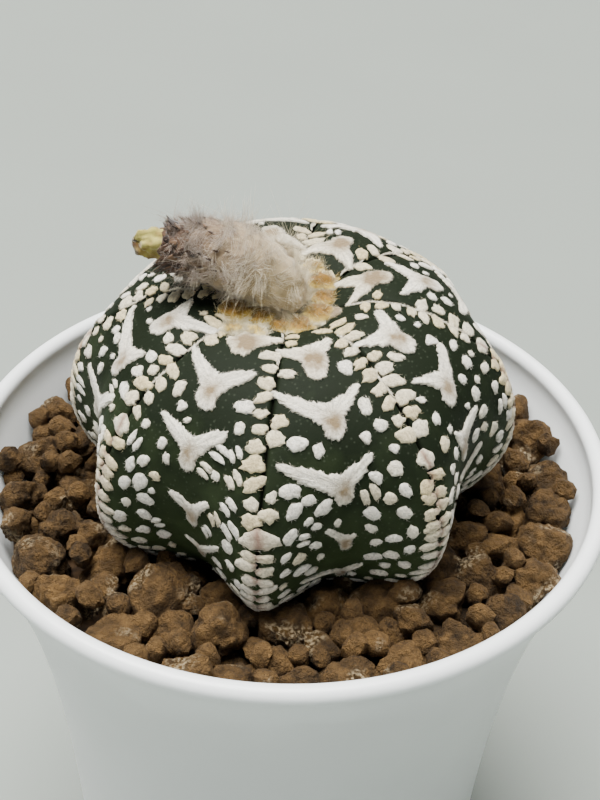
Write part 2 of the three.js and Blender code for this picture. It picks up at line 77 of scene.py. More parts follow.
# The bed of dust: [radius, height over the rim plane] from the bottom of the root's well outwards.
BED_TOP = [[0, -40], [3, -40], [4.6, -36], [7, -22], [13, -15.5], [22, -11.8], [30, -10.9]]
BED_BOTTOM = 3.7 - RIM_PLANE

# Rounds of darts that place the granules, large ones first: least and largest radius as shares of
# the largest granule's, darts thrown, height over the rim plane and its spread in mm, clearance as
# a share of the radii, and whether they stand against the wall. The last round is the layer below.
DART_ROUNDS = ((0.7, 1.0, 900, -7.4, 0.5, 0.97, True), (0.7, 1.0, 3000, -7.4, 0.6, 0.97, False),
               (0.5, 0.68, 3500, -6.8, 0.7, 0.92, False), (0.3, 0.48, 5000, -6.4, 0.9, 0.9, False),
               (0.6, 0.8, 3500, -10.6, 0.6, 0.82, False))
LOWER_LAYER = -9  # granules under this height belong to it
CRUMB_SHARP_ANGLE = 32.0  # degrees

# The globe of eight ribs, in mm and degrees. It is the solid's formula, but here the points of the
# star are rounded over RIDGE, a share of half a rib's width, and the seams have a crack.
BODY_CENTRE = (0.1, 1.8)
BODY_RADIUS = 31.0
EQUATOR = 6.2
TOP_HEIGHT, LOW_HEIGHT = 20.2, 19.9
TOP_POWER, LOW_POWER = 2.24, 1.98
LAST_ANGLE = 138.0
LEAN = (1.9, 5.7)
OVAL, OVAL_AZIMUTH = 0.023, 33.0
SEAMS = np.array([-6, 37, 83, 128, 171, 214, 265, 308, 354], float)
RIBS = len(SEAMS) - 1
HALF_RIB_TURN = 0.38  # about half a rib's turn round the axis, in radians
SWELL, LOBE_START, LOBE_RISE = 0.025, 0.08, 18.0
HOLLOW, HOLLOW_POWER = 0.19, 1.7
RIDGE = 0.13
FOLD_START, FOLD_SPAN = 0.15, 0.68
CROWN_DIP, CROWN_DIP_RADIUS = 5.1, 8.2
CRACK_WIDTH = 0.22
CRACK_START, CRACK_RISE, CRACK_FALL, CRACK_END = 0.05, 0.06, 0.08, 0.68
ROOT_RINGS = [(-14.5, 11.0), (-20.0, 5.5), (-34.0, 3.4)]
ROOT_TIP = -39.0

# Felt marks of each rib: [across, down, foot across, foot drop, left across, left rise, right
# across, right rise, half-width], in mm from the rib's middle and from the crown.
MARKS = [
    [[-1.0, 13.2, 0.0, 2.3, -3.6, 0.6, 2.7, 2.1, 1.5], [-0.5, 22.1, 0.0, 1.6, -6.4, 3.2, 3.6, 2.9, 1.3],
     [-0.3, 30.7, 0.0, 1.2, -7.5, 3.7, 3.5, 3.1, 1.2], [0.4, 39.1, 0.0, 1.0, -3.0, 2.7, 0.9, 0.8, 0.8],
     [1.1, 47.3, 0.0, 1.2, -6.9, 2.2, 2.4, 2.6, 0.7]],
    [[1.0, 4.6, 0.0, 1.2, -1.6, 1.0, 1.6, 1.0, 1.4], [-1.0, 15.6, 0.0, 2.1, -4.2, 1.9, 2.8, 3.1, 1.4],
     [-0.9, 24.4, -1.2, 1.6, -3.8, 2.8, 3.5, 2.8, 1.2], [-3.1, 31.8, 0.0, 1.7, -1.4, 1.9, 4.9, 1.3, 1.0],
     [-0.5, 39.5, 0.0, 1.2, -3.6, 2.3, 3.6, 2.5, 0.8]],
    [[0.1, 11.2, 0.0, 1.6, -3.1, 3.1, 1.6, 3.8, 1.4], [-0.5, 18.3, 0.0, 2.1, -3.2, 3.2, 3.6, 3.0, 1.3],
     [0.2, 26.5, 0.0, 1.6, -5.0, 3.0, 4.2, 2.8, 1.2], [0.0, 34.8, 0.0, 1.4, -5.4, 3.0, 3.6, 3.2, 1.0],
     [0.4, 43.0, 0.0, 1.2, -4.0, 2.4, 3.6, 2.4, 0.8]],
    [[0.0, 12.6, 0.0, 1.8, -3.8, 1.8, 3.7, 2.1, 1.4], [0.3, 21.0, 0.0, 1.8, -4.6, 3.0, 4.4, 2.8, 1.3],
     [-0.2, 29.8, 0.0, 1.5, -5.6, 3.1, 4.4, 3.2, 1.1], [0.2, 38.6, 0.0, 1.2, -4.2, 2.6, 3.9, 2.8, 0.9]],
    [[0.0, 13.8, 0.0, 1.8, -3.4, 2.2, 3.2, 2.2, 1.4], [-0.2, 22.4, 0.0, 1.7, -5.2, 2.9, 4.3, 3.1, 1.3],
     [0.3, 31.2, 0.0, 1.4, -5.5, 3.2, 5.1, 2.8, 1.1], [0.0, 39.8, 0.0, 1.2, -4.3, 2.6, 4.0, 2.7, 0.9]],
    [[0.2, 11.0, 0.0, 1.7, -2.8, 2.3, 2.6, 2.4, 1.4], [0.0, 19.4, 0.0, 1.8, -4.4, 3.0, 4.9, 3.0, 1.3],
     [-0.3, 28.2, 0.0, 1.4, -5.4, 3.0, 4.8, 3.2, 1.2], [0.2, 37.0, 0.0, 1.2, -4.4, 2.9, 4.0, 2.6, 0.9]],
    [[0.4, 16.3, 0.0, 2.0, -2.2, 2.6, 4.5, 3.2, 1.4], [1.4, 24.1, 0.0, 1.6, -8.0, 2.6, 1.6, 2.3, 1.2],
     [0.4, 32.9, -2.0, 2.2, -5.9, 2.1, 4.8, 4.9, 1.1], [0.0, 41.2, 0.0, 1.2, -4.0, 2.4, 3.8, 2.6, 0.8]],
    [[0.1, 11.4, 0.0, 1.2, -1.9, -1.2, 2.9, 1.5, 1.6], [-0.2, 19.3, 0.0, 1.9, -5.5, 2.8, 3.6, 3.0, 1.4],
     [0.3, 27.4, 0.0, 1.7, -5.3, 2.4, 3.6, 3.0, 1.2], [1.6, 35.8, 0.0, 1.3, -3.5, 1.6, 2.4, 2.6, 0.9],
     [2.5, 42.7, 0.0, 1.0, -2.9, 1.2, 4.0, 4.2, 0.6]],
]

# The ladder of felt bars on the seam left of each rib: where it starts, in mm down from the crown,
# and the half-length of its topmost bar.
LADDERS = [(35.0, 2.6), (29.0, 1.3), (26.0, 1.3), (30.0, 2.4), (32.0, 1.3), (31.0, 2.6), (30.0, 1.3),
           (28.5, 1.7)]

# Columns of flecks at these distances from each seam, in mm, down to this length from the crown.
FLECK_COLUMNS = (1.15, 3.5, 5.7, 7.9, 10.1)
LAST_FLECK, LAST_BAR = 57.0, 57.3

# Rings of a felt pad: part of the way out, share of its height, and power of its wobble.
PAD_RINGS = ((0.5, 1.0, 0.4), (0.9, 0.72, 1.0), (1.0, -0.3, 1.0))
PAD_POINTS = 16
PAD_DROOP = 0.08

# Rings of a V-shaped mark, as parts of the way from its areole to its outline, and the half-widths
# of its foot, left arm and right arm at the areole and at the tip, as shares of the mark's own.
MARK_RINGS = np.array([0.12, 0.28, 0.46, 0.63, 0.78, 0.88, 0.94, 0.975, 1.0])
ARM_WIDTHS = np.array([[1.15, 1.05], [1.15, 0.38], [1.15, 0.48]])
LONGEST_ARM = 11.0  # all in mm from here on
COMB = 0.12  # random shift of the outline's points
RAGGED_BY, RAGGED_LENGTH = 0.2, 2.6  # wavy shift of the outline, and its wavelength
SHOULDER = 0.09  # how far in from the outline a mark reaches most of its height
UNDER_SKIN = 0.08  # depth of the outline under the skin
FRINGE_WIDTH = 0.05

# Crown tufts: [x, y, height over the rim plane, radius, ochre], in mm and ochre from 0 to 1.
TUFTS = [[-7.2, -1.3, 23.0, 2.5, 1.0], [-7.2, -5.6, 23.4, 1.3, 0.5], [-4.2, -1.5, 22.5, 2.3, 0.9],
         [-1.6, -2.9, 21.9, 1.9, 0.8], [1.2, -2.8, 22.0, 2.1, 0.9], [3.6, -0.4, 22.4, 2.2, 0.9],
         [4.3, 3.4, 22.5, 2.0, 1.0], [4.0, 6.4, 23.2, 2.3, 1.0], [2.9, 8.6, 24.0, 1.7, 0.6],
         [-4.4, -5.9, 23.0, 1.5, 0.4], [-0.4, 7.2, 23.2, 1.9, 0.6], [-3.6, 6.6, 23.0, 1.8, 0.5]]
CROWN_HAIRS = 700  # on each tuft

# No hair of the fruit ends much higher than this over the rim plane, in mm.
WOOL_CEILING = 37.4

# Dried fruit and withered flower: [x, y, height over the rim plane, radius] along their axes, in mm.
FRUIT_STATIONS = np.array([[-0.5, 2.0, 22.8, 2.6], [-1.3, 2.0, 24.9, 3.4], [-3.2, 2.1, 27.1, 4.1],
                           [-6.2, 2.3, 28.8, 4.4], [-9.8, 2.5, 29.8, 4.2], [-12.9, 2.5, 30.3, 3.7],
                           [-15.1, 2.5, 30.6, 3.0], [-16.7, 2.5, 30.8, 2.2]])
FLOWER_STATIONS = np.array([[-15.6, 2.5, 30.8, 1.6], [-16.8, 2.5, 30.9, 1.85], [-18.0, 2.5, 31.0, 1.8],
                            [-19.1, 2.4, 31.1, 1.5], [-20.0, 2.3, 31.2, 1.05]])

# The fruit's scales, the turn in radians from one to the next, and the tufts that its wool is in.
SCALES = 130
GOLDEN_ANGLE = 2.399963
WOOL_TUFTS = 420

# Camera: place in metres, turns about x, y and z in degrees, and lens and film width in mm.
CAMERA_PLACE = (0.0, -0.1317, RIM_PLANE * MM + 0.107)
CAMERA_TURNS = (53.218, -1.758, 0.634)
CAMERA_LENS, FILM_WIDTH = 54.09, 36.0

# Lights: places, size and aim in metres, colours, the angle in degrees that the key light fills in
# the sky, and the share of its strength that the fill has.
KEY_PLACE, KEY_COLOUR, KEY_SPREAD = (-0.12, 0.12, 0.95), (1.0, 0.985, 0.95), 44.0
FILL_PLACE, FILL_COLOUR, FILL_SIZE, FILL_SHARE = (-0.5, -0.75, 0.6), (0.93, 0.97, 1.0), 0.6, 0.11
LIGHTS_AIM = (0.0, 0.0, 0.07)
FLOOR_REACH = 25.0


# ------------------------------------------------------------------------------- colour and nodes

def linear(code):
    """An sRGB hex colour as linear red, green and blue with an alpha of 1: each channel is divided
    by 12.92 below 0.04045, and otherwise raised to the power 2.4 after the usual shift."""
    channels = [int(code[i:i + 2], 16) / 255 for i in (1, 3, 5)]
    light = [c / 12.92 if c <= 0.04045 else ((c + 0.055) / 1.055) ** 2.4 for c in channels]
    return (*light, 1.0)


def tone(colour, share=1.0):
    """A property's colour, each channel times a share and at most 1, with an alpha of 1."""
    return tuple(min(1.0, share * c) for c in colour) + (1.0,)


def add_node(tree, kind, inputs=None, stops=None, **settings):
    """Adds a node, sets its settings, its colour ramp's stops and its inputs, and links those
    inputs that are given as sockets."""
    node = tree.nodes.new(kind)
    for name, value in settings.items():
        setattr(node, name, value)
    if stops:
        ramp = node.color_ramp
        while len(ramp.elements) < len(stops):
            ramp.elements.new(1.0)
        for element, (position, colour) in zip(ramp.elements, stops):
            element.position = position
            element.color = colour
    for name, value in (inputs or {}).items():
        if isinstance(value, bpy.types.NodeSocket):
            tree.links.new(value, node.inputs[name])
        else:
            node.inputs[name].default_value = value
    return node


def new_material(name, **shader):
    """A material with one Principled shader: returns the material, its tree, the shader node and
    the Object coordinates."""
    material = bpy.data.materials.new(name)
    material.use_nodes = True
    tree = material.node_tree
    tree.nodes.clear()
    output = tree.nodes.new("ShaderNodeOutputMaterial")
    surface = add_node(tree, "ShaderNodeBsdfPrincipled", shader)
    tree.links.new(surface.outputs["BSDF"], output.inputs["Surface"])
    place = tree.nodes.new("ShaderNodeTexCoord").outputs["Object"]
    return material, tree, surface, place


def per_mm(wavelength):
    """A texture's scale for features of that many millimetres on coordinates in metres."""
    return 1 / (wavelength * MM)


# ------------------------------------------------------------------------------------------ meshes

def skin_faces(rings, around, copies=1):
    """Quads and triangles of closed skins: one pole, rings of points one after another that turn
    anticlockwise seen from that pole, and the last pole. Copies follow each other in the points."""
    ring, step = np.arange(rings - 1)[:, None], np.arange(around)[None, :]

    def at(row, column):
        return 1 + row * around + column % around

    quads = np.stack(np.broadcast_arrays(at(ring, step), at(ring + 1, step), at(ring + 1, step + 1),
                                         at(ring, step + 1)), -1).reshape(-1, 4)
    step = np.arange(around)
    first = np.stack([0 * step, at(0, step), at(0, step + 1)], -1)
    last = np.stack([0 * step + 1 + rings * around, at(rings - 1, step + 1), at(rings - 1, step)], -1)
    offsets = np.arange(copies)[:, None, None] * (rings * around + 2)
    quads = (quads + offsets).reshape(-1, 4)
    triangles = (np.concatenate([first, last]) + offsets).reshape(-1, 3)
    return quads, triangles


def new_mesh(name, points, quads, triangles, material, attributes=None):
    """A smooth mesh from points in mm, whose heights are over the rim plane, from index arrays of
    its faces and from attributes, each with one number or one vector for each point."""
    mesh = bpy.data.meshes.new(name)
    place = (np.asarray(points, float).reshape(-1, 3) + (0.0, 0.0, RIM_PLANE)) * MM
    corners = np.concatenate([quads.ravel(), triangles.ravel()]).astype(np.int32)
    starts = np.concatenate([np.arange(len(quads)) * 4,
                             len(quads) * 4 + np.arange(len(triangles)) * 3]).astype(np.int32)
    mesh.vertices.add(len(place))
    mesh.vertices.foreach_set("co", place.ravel())
    mesh.loops.add(len(corners))
    mesh.loops.foreach_set("vertex_index", corners)
    mesh.polygons.add(len(starts))
    mesh.polygons.foreach_set("loop_start", starts)
    mesh.polygons.foreach_set("use_smooth", np.ones(len(starts), bool))
    for key, values in (attributes or {}).items():
        is_vector = np.size(values) == 3 * len(place)
        layer = mesh.attributes.new(key, "FLOAT_VECTOR" if is_vector else "FLOAT", "POINT")
        layer.data.foreach_set("vector" if is_vector else "value", np.asarray(values, float).ravel())
    mesh.update(calc_edges=True)
    mesh.validate()
    mesh.materials.append(material)
    return mesh


def drilled(mesh, plugs):
    """The mesh with the plugs cut out of it, and sharp edges where it turns by more than the pot's
    sharp angle."""
    whole, tool = [bpy.data.objects.new(one.name, one) for one in (mesh, plugs)]
    for one in (whole, tool):
        bpy.context.scene.collection.objects.link(one)
    cut = whole.modifiers.new("drains", "BOOLEAN")
    cut.object, cut.operation, cut.solver = tool, "DIFFERENCE", "MANIFOLD"
    graph = bpy.context.evaluated_depsgraph_get()
    result = bpy.data.meshes.new_from_object(whole.evaluated_get(graph))
    result.set_sharp_from_angle(angle=math.radians(POT_SHARP_ANGLE))
    for one in (whole, tool):
        bpy.data.objects.remove(one)
    for one in (mesh, plugs):
        bpy.data.meshes.remove(one)
    return result


def new_piece(name, mesh, node):
    """An object that shows a mesh. It rides on the root body, and replaces a CAD node, which is
    hidden."""
    mesh.name = name
    piece = bpy.data.objects.new(name, mesh)
    bpy.context.scene.collection.objects.link(piece)
    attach(piece, "root")
    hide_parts(node)


def lathe(profile, around):
    """Points and faces of a closed turned shape: each point of the profile [radius, height] goes
    round the axis, and its two ends on the axis are the poles."""
    profile = np.asarray(profile, float)
    angle = np.arange(around) * 2 * np.pi / around
    rings = profile[1:-1]
    points = np.stack(np.broadcast_arrays(rings[:, :1] * np.cos(angle), rings[:, :1] * np.sin(angle),
                                          rings[:, 1:]), -1).reshape(-1, 3)
    points = np.concatenate([[[0, 0, profile[0, 1]]], points, [[0, 0, profile[-1, 1]]]])
    return points, *skin_faces(len(rings), around)


def wall_radius(depth):
    """Outer radius of the pot at a depth under the rim plane: a straight foot plus a flare that
    falls off as an exponential of the depth."""
    return FOOT_RADIUS + FLARE * np.exp(-depth / FLARE_DEPTH)


def unit(vectors):
    """Vectors divided by their lengths."""
    return vectors / np.maximum(np.linalg.norm(vectors, axis=-1, keepdims=True), 1e-12)


def waves(points, length, seed, octaves=3):
    """Smooth unevenness, mostly between -1 and 1: a sum of sines of the place along seeded random
    directions, each octave with half the wavelength and 0.6 of the height of the one before."""
    random = np.random.default_rng(seed)
    total, height = np.zeros(points.shape[:-1]), 1.0
    for octave in range(octaves):
        for _ in range(4):
            way = unit(random.normal(size=3)) * 2 * np.pi / (length * 0.5 ** octave)
            total += height / 4 * np.sin(points @ way + random.uniform(0, 2 * np.pi))
        height *= 0.6
    return total


def strands(roots, ways, curls, lengths, width, rings):
    """Closed hairs of three sides: a point at part s of the length is the root, plus s times the
    way and s squared times the curl, and the hair thins as the square root of one minus s. The
    first ring stands at the root and the last of several at 0.86 of the length. The foot lies
    0.05 mm behind the root."""
    part = np.linspace(0, 0.86, rings)
    middle = (roots[:, None] + part[None, :, None] * (ways * lengths[:, None])[:, None]
              + part[None, :, None] ** 2 * (curls * lengths[:, None])[:, None])
    side = unit(np.cross(ways, ways[:, [1, 2, 0]] + (0.3, 0.1, 0.2)))
    other = unit(np.cross(ways, side))
    angle = np.arange(3) * 2 * np.pi / 3
    around = (side[:, None] * np.cos(angle)[None, :, None]
              + other[:, None] * np.sin(angle)[None, :, None])
    reach = width / 2 * np.sqrt(1 - part)
    skin = middle[:, :, None] + reach[None, :, None, None] * around[:, None]
    tip = roots + ways * lengths[:, None] + curls * lengths[:, None]
    foot = roots - 0.05 * ways
    # The rings turn anticlockwise seen from the first pole, which is the tip.
    points = np.concatenate([tip[:, None], skin[:, ::-1].reshape(len(roots), -1, 3), foot[:, None]], 1)
    return points, *skin_faces(rings, 3, len(roots))


# -------------------------------------------------------------------------------------- the globe

def body_surface(turn, down, slit=0.0):
    """A point on the globe. turn counts ribs round the body, whole numbers being seams, and down
    runs 0 at the crown to 1 at the soil. The meridian is two superellipses that meet at the
    equator: radius and height are powers of the sine and cosine of down times the last angle. On
    top each rib swells as a semicircle between its seams. Lower down its face is hollow, as a power
    of the way from its middle, and the seams are the rounded points of a star. The section is a
    little oval, the body leans, and the crown sinks as a bell curve of the radius. slit is the
    depth of the crack along a seam, a bell curve of the distance from it."""
    turn, down = np.broadcast_arrays(np.asarray(turn, float), np.asarray(down, float))
    wrapped = np.mod(turn, RIBS)
    azimuth = np.radians(np.interp(wrapped, np.arange(RIBS + 1), SEAMS))
    angle = np.radians(LAST_ANGLE) * down
    upper = np.cos(angle) >= 0
    power = 2 / np.where(upper, TOP_POWER, LOW_POWER)
    rise = np.abs(np.cos(angle)) ** power * np.where(upper, TOP_HEIGHT, -LOW_HEIGHT)
    radius = np.abs(np.sin(angle)) ** power * BODY_RADIUS

    to_middle = 1 - np.abs(2 * (wrapped - np.floor(wrapped)) - 1)
    fold = np.clip((down - FOLD_START) / FOLD_SPAN, 0, 1)
    fold = fold * fold * (3 - 2 * fold)
    lobe = SWELL * (np.sqrt(np.clip(1 - (1 - to_middle) ** 2, 0, 1)) - 1)
    rounded = (np.sqrt(to_middle ** 2 + RIDGE ** 2) - RIDGE) / (math.sqrt(1 + RIDGE ** 2) - RIDGE)
    face = -HOLLOW * (1 - np.clip(1 - rounded, 0, 1) ** HOLLOW_POWER)
    radius = radius * (1 + lobe * (1 - fold) + face * fold)
    radius = radius * (1 + OVAL * np.cos(2 * (azimuth - math.radians(OVAL_AZIMUTH))))
    from_seam = to_middle * radius * HALF_RIB_TURN
    crack = slit * np.exp(-(from_seam / CRACK_WIDTH) ** 2)
    radius = radius - crack

    x, y = radius * np.sin(azimuth), -radius * np.cos(azimuth)
    on_top = (1 - fold) * np.abs(np.cos(angle)) * np.clip(down / LOBE_START, 0, 1)
    dip = CROWN_DIP * np.exp(-(radius / CROWN_DIP_RADIUS) ** 2)
    lean = x * math.tan(math.radians(LEAN[0])) + y * math.tan(math.radians(LEAN[1]))
    height = EQUATOR + rise + LOBE_RISE * lobe * on_top - dip + lean
    height = height - 0.6 * crack * np.abs(np.cos(angle)) * upper
    return np.stack([x + BODY_CENTRE[0], y + BODY_CENTRE[1], height], -1)


def body_normal(turn, down):
    """The outward normal of the globe, from points a little to each side, so that it turns smoothly
    over a seam."""
    round_it = body_surface(turn + 0.02, down) - body_surface(turn - 0.02, down)
    along_it = body_surface(turn, down + 0.01) - body_surface(turn, np.maximum(down - 0.01, 1e-3))
    return unit(np.cross(along_it, round_it))


def rib_tables(stops):
    """For each rib, the length down its middle line and its width across, both at each stop."""
    lengths, widths = [], []
    for rib in range(RIBS):
        steps = np.linalg.norm(np.diff(body_surface(rib + 0.5, stops), axis=0), axis=1)
        lengths.append(np.concatenate([[0], np.cumsum(steps)]))
        lines = body_surface(rib + np.linspace(0.0, 0.999, 11)[:, None], stops[None])
        widths.append(np.linalg.norm(np.diff(lines, axis=0), axis=2).sum(0))
    return lengths, widths


DOWN_STOPS = np.linspace(0, 1, 241)
RIB_LENGTHS, RIB_WIDTHS = rib_tables(DOWN_STOPS)


def by_rib(rib, values, places, tables):
    """Values looked up in each rib's own table, straight between its places."""
    out = np.zeros(values.shape)
    for number in range(RIBS):
        here = rib == number
        out[here] = np.interp(values[here], places[number], tables[number])
    return out


def on_body(rib, across, down, lift):
    """Points over the globe, from millimetres across from a rib's middle and down along it, lifted
    by millimetres along the normal."""
    rib, across, down, lift = np.broadcast_arrays(rib, across, down, lift)
    part = by_rib(rib, down, RIB_LENGTHS, [DOWN_STOPS] * RIBS)
    part = np.clip(part, 0.02, 0.995)
    width = by_rib(rib, part, [DOWN_STOPS] * RIBS, RIB_WIDTHS)
    turn = rib + 0.5 + across / width
    return body_surface(turn, part) + body_normal(turn, part) * lift[..., None]


def half_width(rib, down):
    """Half the width of one rib at a length down from the crown."""
    part = np.interp(down, RIB_LENGTHS[rib], DOWN_STOPS)
    return float(np.interp(part, DOWN_STOPS, RIB_WIDTHS[rib])) / 2


# ------------------------------------------------------------------------------------------- felt

def pad_outline(rows, angle, seed, ragged):
    """How far out a pad reaches at each angle, as a share of its ellipse: one, plus a random share
    at each point that is larger on creamy pads, plus a random sum of the second to fourth
    harmonics."""
    random = np.random.default_rng(seed)
    wobble = 1 + ragged * (1 + rows[:, 6:7]) * random.normal(size=(len(rows), len(angle)))
    for harmonic, share in ((2, 0.06), (3, 0.075), (4, 0.05)):
        phase = random.uniform(0, 2 * np.pi, size=(len(rows), 1))
        size = share * random.normal(size=(len(rows), 1))
        wobble = wobble + size * np.cos(harmonic * angle[None] + phase)
    return wobble


def pad_place(rows, angle, out):
    """Millimetres across and down a rib for a place on a pad at an angle and a part of the way out:
    x and y on its ellipse, whose ends droop with the square of x, turned by the pad's own turn."""
    x = out * np.cos(angle) * rows[:, 3, None]
    y = out * np.sin(angle) * rows[:, 4, None] + PAD_DROOP * x * x
    cosine, sine = np.cos(rows[:, 5, None]), np.sin(rows[:, 5, None])
    return rows[:, 1, None] + x * cosine - y * sine, rows[:, 2, None] + x * sine + y * cosine


def pads(rows, seed, ragged):
    """Low pads of felt, one for each row [rib, across, down, half-length, half-height, turn, cream,
    height], as closed skins. The top is nearly flat, uneven at random, and falls off steeply at the
    outline. Returns the points, for each point the part of the way out, its angle and the number of
    its pad, and the faces."""
    random = np.random.default_rng(seed)
    angle = -np.arange(PAD_POINTS) * 2 * np.pi / PAD_POINTS
    wobble = pad_outline(rows, angle, seed, ragged)
    rib, height = rows[:, 0].astype(int), rows[:, 7]
    top = on_body(rib, rows[:, 1], rows[:, 2], height)
    skin, out = [top[:, None]], [0.0]
    for part, rise, power in PAD_RINGS:
        across, down = pad_place(rows, angle[None], part * wobble ** power)
        rise = rise + 0.13 * random.normal(size=across.shape) * (part < 1)
        skin.append(on_body(rib[:, None], across, down, height[:, None] * rise))
        out += [part] * PAD_POINTS
    skin.append(on_body(rib, rows[:, 1], rows[:, 2], -0.5 * height)[:, None])
    points = np.concatenate(skin, 1)
    out = np.broadcast_to(np.array(out + [1.0])[None], points.shape[:2])
    angle = np.broadcast_to(np.concatenate([[0], np.tile(angle, len(PAD_RINGS)), [0]])[None], out.shape)
    number = np.broadcast_to(np.arange(len(rows))[:, None], out.shape)
    return points, out, angle, number, *skin_faces(len(PAD_RINGS), PAD_POINTS, len(rows))


def fringe(rib, root, tip, seed):
    """Fine hairs that leave the felt at its outline: each runs from a place root to a place tip
    [across, down] on a rib, and ends a little over the skin."""
    random = np.random.default_rng(seed)
    start = on_body(rib, root[:, 0], root[:, 1], random.uniform(0.06, 0.24, size=len(rib)))
    end = on_body(rib, tip[:, 0], tip[:, 1], random.uniform(0.0, 0.42, size=len(rib)))
    way = end - start
    curls = random.normal(size=way.shape) * 0.15
    return strands(start, unit(way), curls, np.linalg.norm(way, axis=-1), FRINGE_WIDTH, rings=1)


def mark_outline(mark, samples):
    """The outline of one V-shaped mark as seen from its areole, with its normals. It is the union of
    tapering bars to the two arm tips and the foot, each of which holds the areole, so that a ray
    from there leaves the union once. The rays' ends are then spaced evenly along the outline and
    smoothed as the mean of three neighbours."""
    _, _, foot_x, foot_y, left_x, left_y, right_x, right_y, half = mark
    tips = np.array([[foot_x, foot_y], [left_x, -left_y], [right_x, -right_y]])
    angle = np.linspace(0, 2 * np.pi, 1440, endpoint=False)
    ray = np.stack([np.cos(angle), np.sin(angle)], -1)
    steps = np.linspace(0.3, LONGEST_ARM, 320)
    spots = ray[:, None] * steps[None, :, None]
    inside = np.zeros(spots.shape[:2], bool)
    for tip, (near, far) in zip(tips, ARM_WIDTHS * half):
        along = np.clip((spots @ tip) / (tip @ tip), 0, 1)
        away = np.linalg.norm(spots - along[..., None] * tip, axis=-1)
        inside |= away < near + (far - near) * along
    reach = steps[np.argmin(inside, axis=1)]
    line = ray * reach[:, None]
    gaps = np.linalg.norm(np.roll(line, -1, 0) - line, axis=1)
    place = np.concatenate([[0], np.cumsum(gaps)])
    wanted = np.linspace(0, place[-1], samples, endpoint=False)
    closed = np.concatenate([line, line[:1]])
    even = np.stack([np.interp(wanted, place, closed[:, i]) for i in range(2)], -1)
    even = sum(np.roll(even, shift, 0) for shift in (-1, 0, 1)) / 3
    tangent = unit(np.roll(even, -1, 0) - np.roll(even, 1, 0))
    return even[::-1], np.stack([tangent[:, 1], -tangent[:, 0]], -1)[::-1]


def mark_skins(height, samples=144):
    """Every V-shaped mark as one closed skin each, and the hairs round it. Rings stand at parts of
    the way from the areole to the outline, whose points are moved in or out by waves and at random,
    and are lifted as one minus the exponential of the distance from the outline. Returns the
    points, and for each point its distance from the areole, its nearness to the edge, its mark's
    number and its place in the fibres, then the marks' centres, the hairs and the faces."""
    random = np.random.default_rng(41)
    marks = np.array([mark for rib_marks in MARKS for mark in rib_marks])
    rib = np.repeat(np.arange(RIBS), [len(rib_marks) for rib_marks in MARKS])
    outline, normal = map(np.array, zip(*[mark_outline(mark, samples) for mark in marks]))
    count, centre = len(marks), marks[:, :2]
    comb = normal * (COMB * random.normal(size=(count, samples, 1)))
    # Each mark has its own place in the waves, so that no two are alike.
    own = np.broadcast_to(40 * rib[:, None, None] + centre[:, None, :1], (count, samples, 1))
    waved = RAGGED_BY * waves(np.concatenate([outline, own], -1), RAGGED_LENGTH, 19, 3)
    outline = outline + normal * waved[..., None]
    sharp = np.clip((MARK_RINGS - 0.85) / 0.15, 0, 1)[None, :, None, None]
    spots = outline[:, None] * MARK_RINGS[None, :, None, None] + comb[:, None] * sharp
    reach = np.linalg.norm(outline, axis=-1)
    lean = np.abs(np.sum(unit(outline) * normal, -1))
    from_edge = (1 - MARK_RINGS)[None, :, None] * (reach * np.maximum(lean, 0.2))[:, None]
    across, down = centre[:, :1, None] + spots[..., 0], centre[:, 1:, None] + spots[..., 1]
    rib_of = np.broadcast_to(rib[:, None, None], across.shape)
    rough = 0.05 * waves(np.stack([across, down, 40.0 * rib_of], -1), 1.0, 13, 2)
    lift = (height + UNDER_SKIN + rough) * (1 - np.exp(-from_edge / SHOULDER)) - UNDER_SKIN
    skin = on_body(rib_of, across, down, lift).reshape(count, -1, 3)
    top = on_body(rib, centre[:, 0], centre[:, 1], np.array(height))[:, None]
    foot = on_body(rib, centre[:, 0], centre[:, 1], np.array(-0.25))[:, None]
    # The areole's tan patch lies nearly half of the way from the mark's centre to its foot.
    drop = 0.45 * marks[:, 2:4]
    from_areole = np.linalg.norm(spots - drop[:, None, None], axis=-1).reshape(count, -1)
    top_away = np.linalg.norm(drop, axis=-1)[:, None]
    from_areole = np.concatenate([top_away, from_areole, top_away], 1)
    # Nearness to the outline, which paints shade there.
    edge_shade = np.exp(-from_edge / 0.2).reshape(count, -1)
    edge_shade = np.concatenate([np.zeros((count, 1)), edge_shade, np.ones((count, 1))], 1)
    own = np.broadcast_to(3.7 * rib_of[..., None] + centre[:, None, None, 1:], spots.shape[:-1] + (1,))
    fibre = np.concatenate([6.0 * unit(spots), own], -1).reshape(count, -1, 3)
    fibre = np.concatenate([fibre[:, :1] * (0, 0, 1), fibre, fibre[:, :1] * (0, 0, 1)], 1)
    number = np.broadcast_to(np.arange(count)[:, None], edge_shade.shape)
    points = np.concatenate([top, skin, foot], 1)

    slant = normal + 0.6 * random.normal(size=normal.shape)
    length = random.uniform(0.04, 0.22, size=(count, samples, 1))
    hairs = (np.repeat(rib, samples), (centre[:, None] + 0.95 * outline).reshape(-1, 2),
             (centre[:, None] + outline + slant * length).reshape(-1, 2))
    faces = skin_faces(len(MARK_RINGS), samples, count)
    return points, from_areole, edge_shade, number, fibre, centre, hairs, *faces


